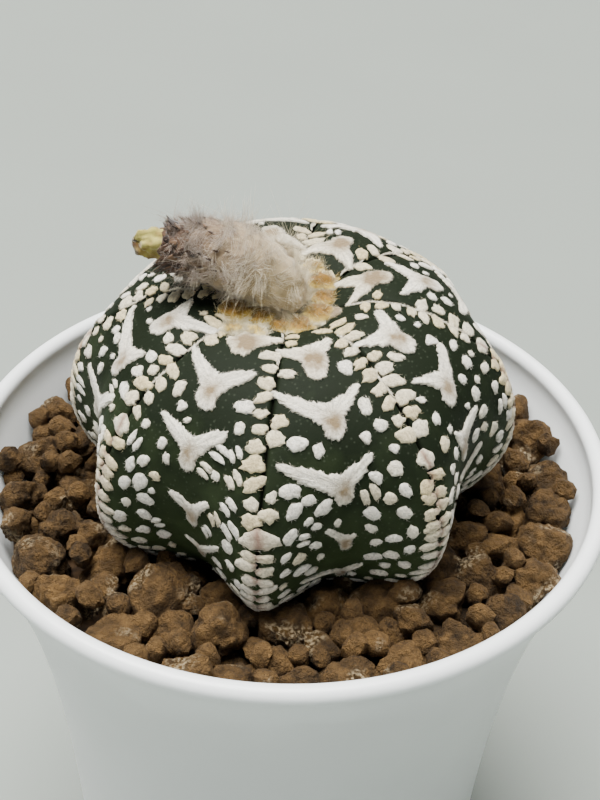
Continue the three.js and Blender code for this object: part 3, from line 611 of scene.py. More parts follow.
def distance_to_marks(rib, across, down):
    """Distance from a place on a rib to the middle line of the nearest mark's arms or foot, less the
    half-width there, and whether it lies close below a mark's foot."""
    nearest, below = math.inf, False
    for x, y, foot_x, foot_y, left_x, left_y, right_x, right_y, half in MARKS[rib]:
        bars = ((foot_x, foot_y, 1.0), (left_x, -left_y, 0.5), (right_x, -right_y, 0.5))
        for tip_x, tip_y, end in bars:
            part = ((across - x) * tip_x + (down - y) * tip_y) / (tip_x ** 2 + tip_y ** 2)
            part = min(max(part, 0), 1)
            away = math.hypot(across - x - part * tip_x, down - y - part * tip_y)
            nearest = min(nearest, away - half * (1 + (end - 1) * part))
        below = below or (abs(across - x) < 1.9 and 0 < down - y - foot_y < 3.4)
    return nearest, below


def fleck_plan(spacing, seed=17):
    """Places of the flecks: on each rib, columns that follow both seams at equal distances, with a
    staggered step down, left out near the marks and thinned below them. Those of the first column
    lie across, up against the seam, and some of the others are split lengthwise in two. Each row is
    [rib, across, down, half-length, half-height, turn, cream, height]."""
    random = np.random.default_rng(seed)
    rows = []
    for rib in range(RIBS):
        taken = []
        for column, from_seam in enumerate(FLECK_COLUMNS):
            at_seam = column == 0
            for side in (-1, 1):
                down = 6.0 + 1.2 * (column % 2) + random.uniform(0, 0.8)
                seam = rib if side < 0 else (rib + 1) % RIBS
                while down < LAST_FLECK:
                    step = random.uniform(1.75, 2.2) if at_seam else spacing * random.uniform(0.85, 1.2)
                    down += step
                    half = half_width(rib, down)
                    across = side * (half - from_seam) + random.normal() * (0.12 if at_seam else 0.4)
                    if at_seam and down > LADDERS[seam][0] - 1.5:
                        break
                    if half - from_seam < 0.5 or (down > 36 and from_seam > 9):
                        continue
                    away, under_mark = distance_to_marks(rib, across, down)
                    size = random.uniform(0.72, 1.12)
                    if not at_seam and random.random() < 0.2:
                        size *= 0.65
                    if away < 0.2 + 0.75 * size or (under_mark and random.random() < 0.7):
                        continue
                    size = size * 0.5 if under_mark else size
                    if any(math.hypot(across - x, down - y) < 1.02 * (size + s) for x, y, s in taken):
                        continue
                    taken.append((across, down, 0.8 * size if at_seam else size))
                    young = max(0.0, (15 - down) / 15)
                    height = random.uniform(0.17, 0.26)
                    if at_seam:
                        rows.append([rib, across, down, size * random.uniform(1.1, 1.45), 0.85 * size,
                                     random.normal() * 0.3, random.uniform(0.35, 1.0) + young, height])
                        continue
                    cream = max(0.0, random.normal() * 0.25) + young
                    turn = side * (0.9 - 0.1 * column) + random.normal() * 0.6
                    length = size * random.uniform(1.0, 1.3)
                    if random.random() < 0.14 and size > 0.75:
                        slip = 0.6 * size
                        for way in (-1, 1):
                            rows.append([rib, across - way * slip * math.sin(turn),
                                         down + way * slip * math.cos(turn),
                                         length, 0.5 * size, turn, cream, height])
                    else:
                        rows.append([rib, across, down, length, 0.84 * size, turn, cream, height])
        # A wavy line of felt along one side of the seam on top. It is broken here and there, but
        # not on rib 2, and it is shortest on rib 0.
        phase, side = random.uniform(0, 2 * np.pi), random.choice([-1, 1])
        for down in np.arange(8.0, 15.0 if rib == 0 else 24.0, 0.5):
            if rib != 2 and math.sin(0.9 * down + phase) < -0.1:
                continue
            across = side * (0.2 + 0.13 * math.sin(1.6 * down + phase)) - half_width(rib, down)
            rows.append([rib, across, down, 0.42, 0.13, math.pi / 2, 0.3, 0.13])
    return rows


def ladder_plan(seed=29):
    """Bars of felt that climb the lower ridge of each seam like a ladder, in two halves that meet in
    a rusty line, below one bar in one piece. Rows are as those of the flecks."""
    random = np.random.default_rng(seed)
    rows = []
    for rib in range(RIBS):
        start, length = LADDERS[rib]
        half = half_width(rib, start)
        top_height = 0.85 + 0.14 * length
        rows.append([rib, -half, start, length, top_height, random.normal() * 0.06, 0.4, 0.26])
        down = start + 2.3
        while down < LAST_BAR:
            half = half_width(rib, down)
            for side in (-1, 1):
                length = random.uniform(0.95, 1.5)
                rows.append([rib, -half + side * (length - 0.15), down + random.normal() * 0.2, length,
                             random.uniform(0.6, 0.85), side * 0.3 + random.normal() * 0.14,
                             max(0.2, (46 - down) / 16), random.uniform(0.2, 0.32)])
            down += random.uniform(1.6, 1.9)
    return rows


# -------------------------------------------------------------------------------------- materials

def polypropylene(pot):
    """Injection-moulded white polypropylene, a little translucent: a soft satin gloss, light that
    bleeds through the thin wall, and a few dark scuffs from handling."""
    material, tree, surface, place = new_material(
        "white_polypropylene", **{"Roughness": 0.32, "IOR": 1.49, "Subsurface Weight": 0.35,
                                  "Subsurface Radius": (1.0, 1.0, 1.0), "Subsurface Scale": 1.6 * MM})
    mottle = add_node(tree, "ShaderNodeTexNoise", {"Vector": place, "Scale": per_mm(22.0),
                                                   "Detail": 3.0})
    shade = add_node(tree, "ShaderNodeValToRGB", {"Fac": mottle.outputs["Fac"]},
                     stops=[(0.3, tone(pot.wall_colour, 0.95)), (0.7, tone(pot.wall_colour))])
    # Specks about 0.4 mm wide, at most one in 11 mm.
    specks = add_node(tree, "ShaderNodeTexVoronoi", {"Vector": place, "Scale": per_mm(11.0),
                                                     "Randomness": 1.0})
    patch = add_node(tree, "ShaderNodeTexNoise", {"Vector": place, "Scale": per_mm(30.0)})
    small = add_node(tree, "ShaderNodeMapRange", {"Value": specks.outputs["Distance"],
                                                  "From Min": 0.024, "From Max": 0.014})
    there = add_node(tree, "ShaderNodeMapRange", {"Value": patch.outputs["Fac"], "From Min": 0.54,
                                                  "From Max": 0.6})
    both = add_node(tree, "ShaderNodeMath", {0: small.outputs["Result"], 1: there.outputs["Result"]},
                    operation="MULTIPLY")
    mix = add_node(tree, "ShaderNodeMix", {"Factor": both.outputs["Value"], "A": shade.outputs["Color"],
                                           "B": linear("#847b6c")}, data_type="RGBA")
    tree.links.new(mix.outputs["Result"], surface.inputs["Base Color"])
    fine = add_node(tree, "ShaderNodeTexNoise", {"Vector": place, "Scale": per_mm(1.6), "Detail": 2.0})
    bump = add_node(tree, "ShaderNodeBump", {"Strength": 0.05, "Distance": 0.2 * MM,
                                             "Height": fine.outputs["Fac"]})
    tree.links.new(bump.outputs["Normal"], surface.inputs["Normal"])
    return material


def clay_grit(soil):
    """Baked clay granules, crushed and sieved: tan to brown, matt and crumbly, some with a pale
    crystalline face. They are darker in the creases between their crumbs, in the deep end of their
    noise and on the lower layer, all as painted shade. Their crumb of 0.8 mm is drawn deeper than it
    is, so that it shows."""
    material, tree, surface, place = new_material("baked_clay_granules", **{"Specular IOR Level": 0.25})
    tint_and_layer_shade = add_node(tree, "ShaderNodeAttribute", attribute_name="tint_and_layer_shade")
    colour = soil.granule_colour
    # The deep end of this ramp, down to a quarter of the colour, is painted shade for pits that the bump
    # can't shadow; the rest is tone that varies at random.
    broad = add_node(tree, "ShaderNodeTexNoise", {"Vector": place, "Scale": per_mm(1.7), "Detail": 5.0,
                                                  "Roughness": 0.68})
    depth = add_node(tree, "ShaderNodeMath", {0: broad.outputs["Fac"], 1: tint_and_layer_shade.outputs["Fac"]},
                     operation="ADD")
    shade = add_node(tree, "ShaderNodeValToRGB", {"Fac": depth.outputs["Value"]},
                     stops=[(0.28, tone(colour, 0.25)), (0.44, tone(colour, 0.72)),
                            (0.56, tone(colour)), (0.74, tone(colour, 1.5))])
    # Painted shade: the creases between crumbs are darkened to 0.55 of the colour.
    creases = add_node(tree, "ShaderNodeAttribute", attribute_name="hollow")
    crease_shade = add_node(tree, "ShaderNodeMapRange", {"Value": creases.outputs["Fac"], "To Min": 1.0,
                                                   "To Max": 0.55})
    shade = add_node(tree, "ShaderNodeVectorMath",
                     {0: shade.outputs["Color"], "Scale": crease_shade.outputs["Result"]}, operation="SCALE")
    # Pale crystals lie in patches of about 4 mm, in grains of 0.5 mm.
    patch = add_node(tree, "ShaderNodeTexNoise", {"Vector": place, "Scale": per_mm(6.5), "Detail": 1.0})
    grain = add_node(tree, "ShaderNodeTexNoise", {"Vector": place, "Scale": per_mm(0.5), "Detail": 3.0})
    where = add_node(tree, "ShaderNodeMapRange", {"Value": patch.outputs["Fac"], "From Min": 0.58,
                                                  "From Max": 0.69})
    grains = add_node(tree, "ShaderNodeMapRange", {"Value": grain.outputs["Fac"], "From Min": 0.46,
                                                   "From Max": 0.62})
    pale = add_node(tree, "ShaderNodeMath", {0: where.outputs["Result"], 1: grains.outputs["Result"]},
                    operation="MULTIPLY")
    mix = add_node(tree, "ShaderNodeMix", {"Factor": pale.outputs["Value"],
                                           "A": shade.outputs["Vector"],
                                           "B": tone(soil.crystal_colour)}, data_type="RGBA")
    tree.links.new(mix.outputs["Result"], surface.inputs["Base Color"])
    crumb = add_node(tree, "ShaderNodeTexNoise", {"Vector": place, "Scale": per_mm(0.8), "Detail": 4.0,
                                                  "Roughness": 0.75})
    bump = add_node(tree, "ShaderNodeBump", {"Strength": 1.0, "Distance": 2.6 * MM,
                                             "Height": crumb.outputs["Fac"]})
    shine = add_node(tree, "ShaderNodeMapRange", {"Value": where.outputs["Result"], "To Min": 0.92,
                                                  "To Max": 0.38})
    tree.links.new(shine.outputs["Result"], surface.inputs["Roughness"])
    tree.links.new(bump.outputs["Normal"], surface.inputs["Normal"])
    return material


def soil_dust_and_gap_shade():
    """Clay dust, sifted down between the granules and wholly matt. Its dark brown is painted shade for
    the deep gaps between the granules, where it shows.
    """
    material, tree, surface, place = new_material("soil_dust_and_gap_shade", **{"Roughness": 1.0})
    noise = add_node(tree, "ShaderNodeTexNoise", {"Vector": place, "Scale": per_mm(1.5), "Detail": 5.0})
    shade = add_node(tree, "ShaderNodeValToRGB", {"Fac": noise.outputs["Fac"]},
                     # Painted shade: the bed is dark brown because the gaps between the granules are in
                     # shade.
                     stops=[(0.35, linear("#1f150c")), (0.7, linear("#4d3821"))])
    tree.links.new(shade.outputs["Color"], surface.inputs["Base Color"])
    return material


def cactus_skin(body):
    """The plant's tight waxy skin, with faint pale pores and a dull sheen. Its green is painted shade on
    top, very dark against the strong light there, and painted light low down, a lighter olive against
    the shade near the soil. Each seam's crack is painted black: painted shade in the crease."""
    material, tree, surface, place = new_material(
        "waxy_green_skin", **{"Roughness": 0.6, "IOR": 1.4, "Specular IOR Level": 0.07})
    # The blend by height is painted light: shade on top against the light there, light low down against
    # the shade near the soil.
    height = add_node(tree, "ShaderNodeSeparateXYZ", {"Vector": place})
    level = add_node(tree, "ShaderNodeMapRange", {"Value": height.outputs["Z"],
                                                  "From Min": (RIM_PLANE - 2) * MM,
                                                  "From Max": (RIM_PLANE + 21) * MM})
    broad = add_node(tree, "ShaderNodeTexNoise", {"Vector": place, "Scale": per_mm(5.0), "Detail": 4.0})
    drift = add_node(tree, "ShaderNodeMath", {0: level.outputs["Result"], 1: broad.outputs["Fac"]},
                     operation="ADD")
    blend = add_node(tree, "ShaderNodeMapRange", {"Value": drift.outputs["Value"], "From Min": 0.35,
                                                  "From Max": 1.35})
    green = add_node(tree, "ShaderNodeMix", {"Factor": blend.outputs["Result"],
                                             "A": tone(body.low_colour_with_painted_light),
                                             "B": tone(body.top_colour_with_painted_shade)}, data_type="RGBA")
    # Pores 0.25 mm wide on a 0.7 mm mesh.
    pores = add_node(tree, "ShaderNodeTexVoronoi", {"Vector": place, "Scale": per_mm(0.7)})
    dots = add_node(tree, "ShaderNodeMapRange", {"Value": pores.outputs["Distance"], "From Min": 0.26,
                                                 "From Max": 0.12, "To Max": 0.09})
    speck = add_node(tree, "ShaderNodeMix", {"Factor": dots.outputs["Result"],
                                             "A": green.outputs["Result"], "B": linear("#76806c")},
                     data_type="RGBA")
    # The crack attribute paints shade, nearly black, into the crease along each seam.
    seam = add_node(tree, "ShaderNodeAttribute", attribute_name="crack")
    dark = add_node(tree, "ShaderNodeMix", {"Factor": seam.outputs["Fac"], "A": speck.outputs["Result"],
                                            "B": linear("#0b0c07")}, data_type="RGBA")
    tree.links.new(dark.outputs["Result"], surface.inputs["Base Color"])
    fine = add_node(tree, "ShaderNodeTexNoise", {"Vector": place, "Scale": per_mm(0.5), "Detail": 3.0})
    bump = add_node(tree, "ShaderNodeBump", {"Strength": 0.3, "Distance": 0.12 * MM,
                                             "Height": fine.outputs["Fac"]})
    tree.links.new(bump.outputs["Normal"], surface.inputs["Normal"])
    return material


def felt_wool(felt):
    """Plant felt, which is short hair grown matted: chalk white, cream where it is young, with a tan
    areole in each mark and a rusty line in the ladders. It is grey at its outline, as painted shade
    where it falls off to the skin. It is matt and lets a little light through. Its fibres are 0.1 mm
    apart, drawn at 0.35 mm so that they show."""
    material, tree, surface, place = new_material(
        "matted_plant_felt", **{"Roughness": 0.95, "Specular IOR Level": 0.15, "Sheen Weight": 0.25,
                                "Sheen Roughness": 0.6, "Subsurface Weight": 0.12,
                                "Subsurface Radius": (1.0, 0.85, 0.6), "Subsurface Scale": 0.5 * MM})
    fibres = add_node(tree, "ShaderNodeTexNoise", {"Vector": place, "Scale": per_mm(0.35),
                                                   "Detail": 3.0, "Roughness": 0.7,
                                                   "Distortion": 0.6})
    chalk = felt.chalk_colour
    white = add_node(tree, "ShaderNodeValToRGB", {"Fac": fibres.outputs["Fac"]},
                     stops=[(0.34, tone(chalk, 0.6)), (0.52, tone(chalk)), (0.7, tone(chalk, 1.1))])
    # The fibre attribute goes round each pad and not out from its middle, so that its noise makes
    # streaks that run outwards.
    fibre = add_node(tree, "ShaderNodeAttribute", attribute_name="fibre")
    streaks = add_node(tree, "ShaderNodeTexNoise", {"Vector": fibre.outputs["Vector"], "Scale": 1.0,
                                                    "Detail": 3.0, "Roughness": 0.7})
    streak = add_node(tree, "ShaderNodeMapRange", {"Value": streaks.outputs["Fac"], "From Min": 0.3,
                                                   "From Max": 0.7, "To Min": 0.62, "To Max": 1.15})
    white = add_node(tree, "ShaderNodeVectorMath",
                     {0: white.outputs["Color"], "Scale": streak.outputs["Result"]}, operation="SCALE")
    cream = add_node(tree, "ShaderNodeAttribute", attribute_name="cream")
    warm = add_node(tree, "ShaderNodeMix", {"Factor": cream.outputs["Fac"],
                                            "A": white.outputs["Vector"],
                                            "B": tone(felt.cream_colour)},
                    data_type="RGBA", blend_type="MULTIPLY")
    areole = add_node(tree, "ShaderNodeAttribute", attribute_name="areole")
    blotch = add_node(tree, "ShaderNodeTexNoise", {"Vector": place, "Scale": per_mm(1.2),
                                                   "Detail": 3.0})
    ragged = add_node(tree, "ShaderNodeMath", {0: areole.outputs["Fac"], 1: blotch.outputs["Fac"]},
                      operation="MULTIPLY")
    doubled = add_node(tree, "ShaderNodeMath", {0: ragged.outputs["Value"], 1: 2.0},
                       operation="MULTIPLY", use_clamp=True)
    tan = add_node(tree, "ShaderNodeMix", {"Factor": doubled.outputs["Value"],
                                           "A": warm.outputs["Result"],
                                           "B": tone(felt.areole_colour)}, data_type="RGBA")
    rust = add_node(tree, "ShaderNodeAttribute", attribute_name="rust")
    stripe = add_node(tree, "ShaderNodeMix", {"Factor": rust.outputs["Fac"], "A": tan.outputs["Result"],
                                              "B": linear("#6b3f31")}, data_type="RGBA")
    # Grey towards the outline is painted shade where the felt falls off to the skin.
    edge_shade = add_node(tree, "ShaderNodeAttribute", attribute_name="edge_shade")
    thin = add_node(tree, "ShaderNodeMix", {"Factor": edge_shade.outputs["Fac"],
                                            "A": stripe.outputs["Result"], "B": linear("#8d8e80")},
                    data_type="RGBA")
    tree.links.new(thin.outputs["Result"], surface.inputs["Base Color"])
    bump = add_node(tree, "ShaderNodeBump", {"Strength": 0.6, "Distance": 0.3 * MM,
                                             "Height": fibres.outputs["Fac"]})
    tree.links.new(bump.outputs["Normal"], surface.inputs["Normal"])
    return material


def wool(name, key, stops):
    """Dry plant hair or husk, as it grew and withered: soft and matt with a pale sheen. Its colour
    runs with an attribute of the piece, drifting in blotches of about 0.9 mm."""
    material, tree, surface, place = new_material(
        name, **{"Roughness": 0.9, "Specular IOR Level": 0.2, "Sheen Weight": 0.4,
                 "Sheen Roughness": 0.5})
    along = add_node(tree, "ShaderNodeAttribute", attribute_name=key)
    noise = add_node(tree, "ShaderNodeTexNoise", {"Vector": place, "Scale": per_mm(0.9), "Detail": 4.0})
    drift = add_node(tree, "ShaderNodeMath", {0: noise.outputs["Fac"], 1: -0.5}, operation="ADD")
    total = add_node(tree, "ShaderNodeMath", {0: drift.outputs["Value"], 1: 0.5,
                                              2: along.outputs["Fac"]}, operation="MULTIPLY_ADD")
    shade = add_node(tree, "ShaderNodeValToRGB", {"Fac": total.outputs["Value"]},
                     stops=[(position, linear(code)) for position, code in stops])
    tree.links.new(shade.outputs["Color"], surface.inputs["Base Color"])
    bump = add_node(tree, "ShaderNodeBump", {"Strength": 0.7, "Distance": 0.3 * MM,
                                             "Height": noise.outputs["Fac"]})
    tree.links.new(bump.outputs["Normal"], surface.inputs["Normal"])
    return material


# ------------------------------------------------------------------------------------- properties

class PotSizes(bpy.types.PropertyGroup):
    """Sizes and colour of the pot."""
    wall: FloatProperty(name="Wall", description="Thickness of the wall", default=1.2 * MM,
                        unit="LENGTH", subtype="DISTANCE")
    wall_colour: FloatVectorProperty(name="Plastic", description="Colour of the plastic", size=3,
                                     subtype="COLOR", default=linear("#eef2f3")[:3], min=0, max=1)


class SoilSizes(bpy.types.PropertyGroup):
    """Sizes and colours of the clay granules."""
    smallest: FloatProperty(name="Smallest", description="Radius of the smallest granule",
                            default=1.3 * MM, unit="LENGTH", subtype="DISTANCE")
    largest: FloatProperty(name="Largest", description="Radius of the largest granule",
                           default=3.9 * MM, unit="LENGTH", subtype="DISTANCE")
    granule_colour: FloatVectorProperty(name="Granules", description="Colour of the baked clay", size=3,
                                        subtype="COLOR", default=linear("#684f2e")[:3], min=0, max=1)
    crystal_colour: FloatVectorProperty(name="Crystals", description="Colour of the pale faces", size=3,
                                        subtype="COLOR", default=linear("#b8a584")[:3], min=0, max=1)


class BodySizes(bpy.types.PropertyGroup):
    """Sizes and colours of the plant's skin."""
    slit: FloatProperty(name="Seam depth", description="Depth of the crack along a seam",
                        default=0.7 * MM, unit="LENGTH", subtype="DISTANCE")
    # Both greens carry painted light: the top one is darkened as painted shade against the light on the
    # crown, the low one lightened as painted light against the shade near the soil.
    top_colour_with_painted_shade: FloatVectorProperty(name="Top green", description="Skin on the crown", size=3,
                                    subtype="COLOR", default=linear("#161c12")[:3], min=0, max=1)
    low_colour_with_painted_light: FloatVectorProperty(name="Low green", description="Skin near the soil", size=3,
                                    subtype="COLOR", default=linear("#37432a")[:3], min=0, max=1)


class FeltSizes(bpy.types.PropertyGroup):
    """Sizes and colours of the felt flecks and marks."""
    spacing: FloatProperty(name="Fleck spacing", description="Step from fleck to fleck down a rib",
                           default=2.65 * MM, unit="LENGTH", subtype="DISTANCE")
    mark_height: FloatProperty(name="Mark height", description="Height of the V-shaped marks",
                               default=0.28 * MM, unit="LENGTH", subtype="DISTANCE")
    chalk_colour: FloatVectorProperty(name="Chalk", description="Colour of old felt", size=3,
                                      subtype="COLOR", default=linear("#ebe6d9")[:3], min=0, max=1)
    cream_colour: FloatVectorProperty(name="Cream", description="Tint of young felt", size=3,
                                      subtype="COLOR", default=linear("#f3e4b6")[:3], min=0, max=1)
    areole_colour: FloatVectorProperty(name="Areole", description="Colour of the areoles", size=3,
                                       subtype="COLOR", default=linear("#7c6a4e")[:3], min=0, max=1)


class FruitSizes(bpy.types.PropertyGroup):
    """Hairs of the dried fruit."""
    hairs: IntProperty(name="Hairs", description="Number of hairs on the fruit", default=13000, min=100)
    hair_width: FloatProperty(name="Hair width", description="Width of one hair, drawn coarse",
                              default=0.045 * MM, unit="LENGTH", subtype="DISTANCE", precision=6)
    hair_length: FloatProperty(name="Hair length", description="Mean length of a hair",
                               default=2.1 * MM, unit="LENGTH", subtype="DISTANCE")


class StageSizes(bpy.types.PropertyGroup):
    """Floor and light of the stage."""
    floor_colour: FloatVectorProperty(name="Floor", description="Colour of the floor", size=3,
                                      subtype="COLOR", default=linear("#7f8680")[:3], min=0, max=1)
    key_strength: FloatProperty(name="Key light", description="Strength of the wide overhead light",
                                default=12.5)


# -------------------------------------------------------------------------------------- operators

class CACTUS_OT_pot(bpy.types.Operator):
    """Turns the flower pot"""
    bl_idname = "cactus.pot"
    bl_label = "Pot"

    def execute(self, context):
        """The flared wall under its round bead, with a floor that meets it in a round corner and
        stands on a foot ring. The drain holes are drilled through the floor in a circle."""
        pot = context.scene.cactus_pot
        material = polypropylene(pot)
        shell = new_mesh("shell", *lathe(self.profile(pot.wall / MM), 160), material)
        sides = 24
        top, low = FLOOR_TOP + 1, FLOOR_LOW - 1
        plug, _, _ = lathe([[0, top], [DRAIN_RADIUS, top], [DRAIN_RADIUS, low], [0, low]], sides)
        angle = np.arange(DRAIN_HOLES) * 2 * np.pi / DRAIN_HOLES
        centre = np.stack([DRAIN_CIRCLE * np.cos(angle), DRAIN_CIRCLE * np.sin(angle), 0 * angle], -1)
        plugs = new_mesh("plugs", centre[:, None] + plug, *skin_faces(2, sides, DRAIN_HOLES), material)
        new_piece("pot_shell", drilled(shell, plugs), "pot")
        return {"FINISHED"}

    def profile(self, wall):
        """The pot's section [radius, height]: from the axis over the floor, up the inside, round
        the bead as an arc, down the outside, round the foot ring and back to the axis."""
        depth = np.linspace(2.2, RIM_PLANE - 1.0, 44)
        outer = wall_radius(depth)
        foot = outer[-1]
        around = np.radians(np.linspace(205, -62, 26))
        bead = np.stack([RIM_RADIUS - BEAD_RADIUS + BEAD_RADIUS * np.cos(around),
                         BEAD_RADIUS * np.sin(around)], -1)
        inside = np.stack([outer - wall, -depth], -1)[::-1]
        inside = inside[inside[:, 1] > FLOOR_TOP + FLOOR_CORNER + 0.2]
        turn = np.radians(np.linspace(-90, 0, 6))
        corner = np.stack([foot - wall - FLOOR_CORNER + FLOOR_CORNER * np.cos(turn),
                           FLOOR_TOP + FLOOR_CORNER + FLOOR_CORNER * np.sin(turn)], -1)
        ring = np.array(FOOT_RING) * (-1, 1) + (foot, -RIM_PLANE)
        return np.concatenate([[[0, FLOOR_TOP], [10, FLOOR_TOP]], corner, inside, bead,
                               np.stack([outer, -depth], -1), ring, [[10, FLOOR_LOW], [0, FLOOR_LOW]]])


def sphere_of_points(rows, around):
    """Unit vectors on a closed grid over a sphere: pole, rows of points that turn anticlockwise
    seen from the pole, and the other pole."""
    tilt = (np.arange(rows) + 1) * np.pi / (rows + 1)
    turn = np.arange(around) * 2 * np.pi / around
    grid = np.stack([np.sin(tilt)[:, None] * np.cos(turn), np.sin(tilt)[:, None] * np.sin(turn),
                     np.broadcast_to(np.cos(tilt)[:, None], (rows, around))], -1).reshape(-1, 3)
    return np.concatenate([[[0, 0, 1]], grid, [[0, 0, -1]]])


def body_radius_at(azimuth, height):
    """Radius of the globe about its axis in one direction, in degrees from the front, at a height
    over the rim plane, looked up on the lower part of its meridian."""
    turn = np.interp(np.mod(azimuth - SEAMS[0], 360) + SEAMS[0], SEAMS, np.arange(RIBS + 1))
    line = body_surface(turn, np.linspace(0.35, 1, 80))
    reach = np.hypot(line[:, 0] - BODY_CENTRE[0], line[:, 1] - BODY_CENTRE[1])
    order = np.argsort(line[:, 2])
    return float(np.interp(height, line[order, 2], reach[order]))


def crumbly_lumps(radii, rows, around, crumb, seed):
    """Angular lumps with crumbs on them, one for each radius. Seen from its middle, a lump's surface
    lies at one over the 30th root of the sum of 30th powers of the direction's shares along 12
    random face normals, each over that face's distance, and of one over the largest reach. This is
    a polyhedron with worn edges inside a ball. Each crumb is a low dome that falls with the square
    of the distance to the nearest of many random spots, as many as crumbs of that width need to
    cover a ball of 3 mm radius. Each lump is then stretched, made uneven by waves and turned at
    random. Returns the points about the middles, and how deep in a crease each one lies."""
    random = np.random.default_rng(seed)
    count = len(radii)
    base = sphere_of_points(rows, around)
    faces, power, largest_reach = 12, 30, 1.18
    facing = unit(random.normal(size=(count, faces, 3)))
    distance = random.uniform(0.7, 1.08, size=(count, 1, faces))
    share = np.maximum(np.einsum("pi,cfi->cpf", base, facing), 0) / distance
    reach = ((share ** power).sum(-1) + largest_reach ** -power) ** (-1 / power)
    spots = unit(random.normal(size=(count, int(4 * np.pi * 3 ** 2 / crumb ** 2), 3)))
    nearest = np.einsum("pi,cfi->cpf", base, spots).max(-1)
    away = np.arccos(np.clip(nearest, -1, 1)) * radii[:, None] / crumb
    dome = 0.22 * crumb * np.clip(1 - (away / 0.62) ** 2, -1, 1)
    stretch = random.uniform(0.8, 1.18, size=(count, 1, 3))
    shape = base * stretch * (reach * radii[:, None] + dome)[..., None]
    places = shape + random.uniform(0, 400, size=(count, 1, 3))
    shape = shape + base * (0.06 * radii[:, None] * waves(places, 2.4, 3, 2)
                            - 0.16 * np.abs(waves(places, 1.3, 4, 2)))[..., None]
    turned, _ = np.linalg.qr(random.normal(size=(count, 3, 3)))
    turned *= np.sign(np.linalg.det(turned))[:, None, None]
    return np.einsum("nij,npj->npi", turned, shape), np.clip((away - 0.4) / 0.5, 0, 1)


def granule_plan(smallest, largest, wall, seed=12):
    """Places of the granules as thrown darts, in the rounds of DART_ROUNDS. They lie in two layers
    that rise a little to the back and the right, each clear of the wall, the plant and its fellows
    by a share of the radii. Each row is [x, y, height, radius]."""
    random = np.random.default_rng(seed)
    kept = []
    for low, high, tries, level, spread, clear, at_wall in DART_ROUNDS:
        layer = [g for g in kept if abs(g[2] - level) < 2.6] if level < LOWER_LAYER else kept
        for _ in range(tries):
            radius = max(largest * random.uniform(low, high), smallest)
            azimuth = math.radians(random.uniform(0, 360))
            east, north = math.sin(azimuth), -math.cos(azimuth)
            height = level + random.normal() * spread + 1.3 * max(0.0, north) + 0.7 * max(0.0, east)
            room = wall_radius(-height) - wall - radius
            if at_wall:
                away = room + random.uniform(-0.3, 0.1)
            else:
                away = math.sqrt(random.uniform(0.2, 1.0)) * room
            x, y = away * east, away * north
            from_plant = math.hypot(x - BODY_CENTRE[0], y - BODY_CENTRE[1])
            azimuth = math.degrees(math.atan2(x - BODY_CENTRE[0], BODY_CENTRE[1] - y))
            if from_plant < body_radius_at(azimuth, height + 0.5 * radius) + 0.66 * radius:
                continue
            if any((x - a) ** 2 + (y - b) ** 2 + (height - c) ** 2 < (clear * (radius + r)) ** 2
                   for a, b, c, r in layer):
                continue
            kept.append((x, y, height, radius))
            if layer is not kept:
                layer.append(kept[-1])
    return np.array(kept)


class CACTUS_OT_soil(bpy.types.Operator):
    """Fills the pot with clay granules"""
    bl_idname = "cactus.soil"
    bl_label = "Soil"

    def execute(self, context):
        """The large granules are one mesh of lumps. The small ones between them and those of the
        lower layer are another, with sharp edges. All are pressed flat where they meet the wall.
        The bed under them is turned, with a well for the root."""
        soil = context.scene.cactus_soil
        random = np.random.default_rng(77)
        wall = context.scene.cactus_pot.wall / MM + 0.1
        plan = granule_plan(soil.smallest / MM, soil.largest / MM, wall)
        large = (plan[:, 3] > 0.5 * soil.largest / MM) & (plan[:, 2] > LOWER_LAYER)
        material = clay_grit(soil)
        kinds = (("clay_granules", plan[large], (24, 36), 1.0, 13),
                 ("clay_crumbs", plan[~large], (6, 9), 1.6, 11))
        for name, rows, grid, crumb, seed in kinds:
            shape, hollow = crumbly_lumps(rows[:, 3], *grid, crumb, seed)
            # Each granule's tone varies at random, and the lower layer is darker still, as painted shade
            # under the top layer.
            tint_and_layer_shade = random.normal(size=(len(rows), 1)) * 0.06 - 0.12 * (rows[:, 2:3] < LOWER_LAYER)
            points = rows[:, None, :3] + shape
            reach = np.linalg.norm(points[..., :2], axis=-1)
            room = wall_radius(np.maximum(-points[..., 2], 0)) - wall
            points[..., :2] *= np.minimum(1, room / reach)[..., None]
            mesh = new_mesh(name, points, *skin_faces(*grid, len(rows)), material,
                            {"tint_and_layer_shade": tint_and_layer_shade + 0 * hollow, "hollow": hollow})
            if name == "clay_crumbs":
                mesh.set_sharp_from_angle(angle=math.radians(CRUMB_SHARP_ANGLE))
            new_piece(name, mesh, "soil")

        depths = np.array([11.5, 16, 24, 36, 55, RIM_PLANE - 6])
        side = np.stack([wall_radius(depths) - wall - 0.2, -depths], -1)
        bed = np.concatenate([BED_TOP, side, [[28, BED_BOTTOM], [0, BED_BOTTOM]]])
        new_piece("soil_bed", new_mesh("soil_bed", *lathe(bed, 72), soil_dust_and_gap_shade()), "soil")
        return {"FINISHED"}


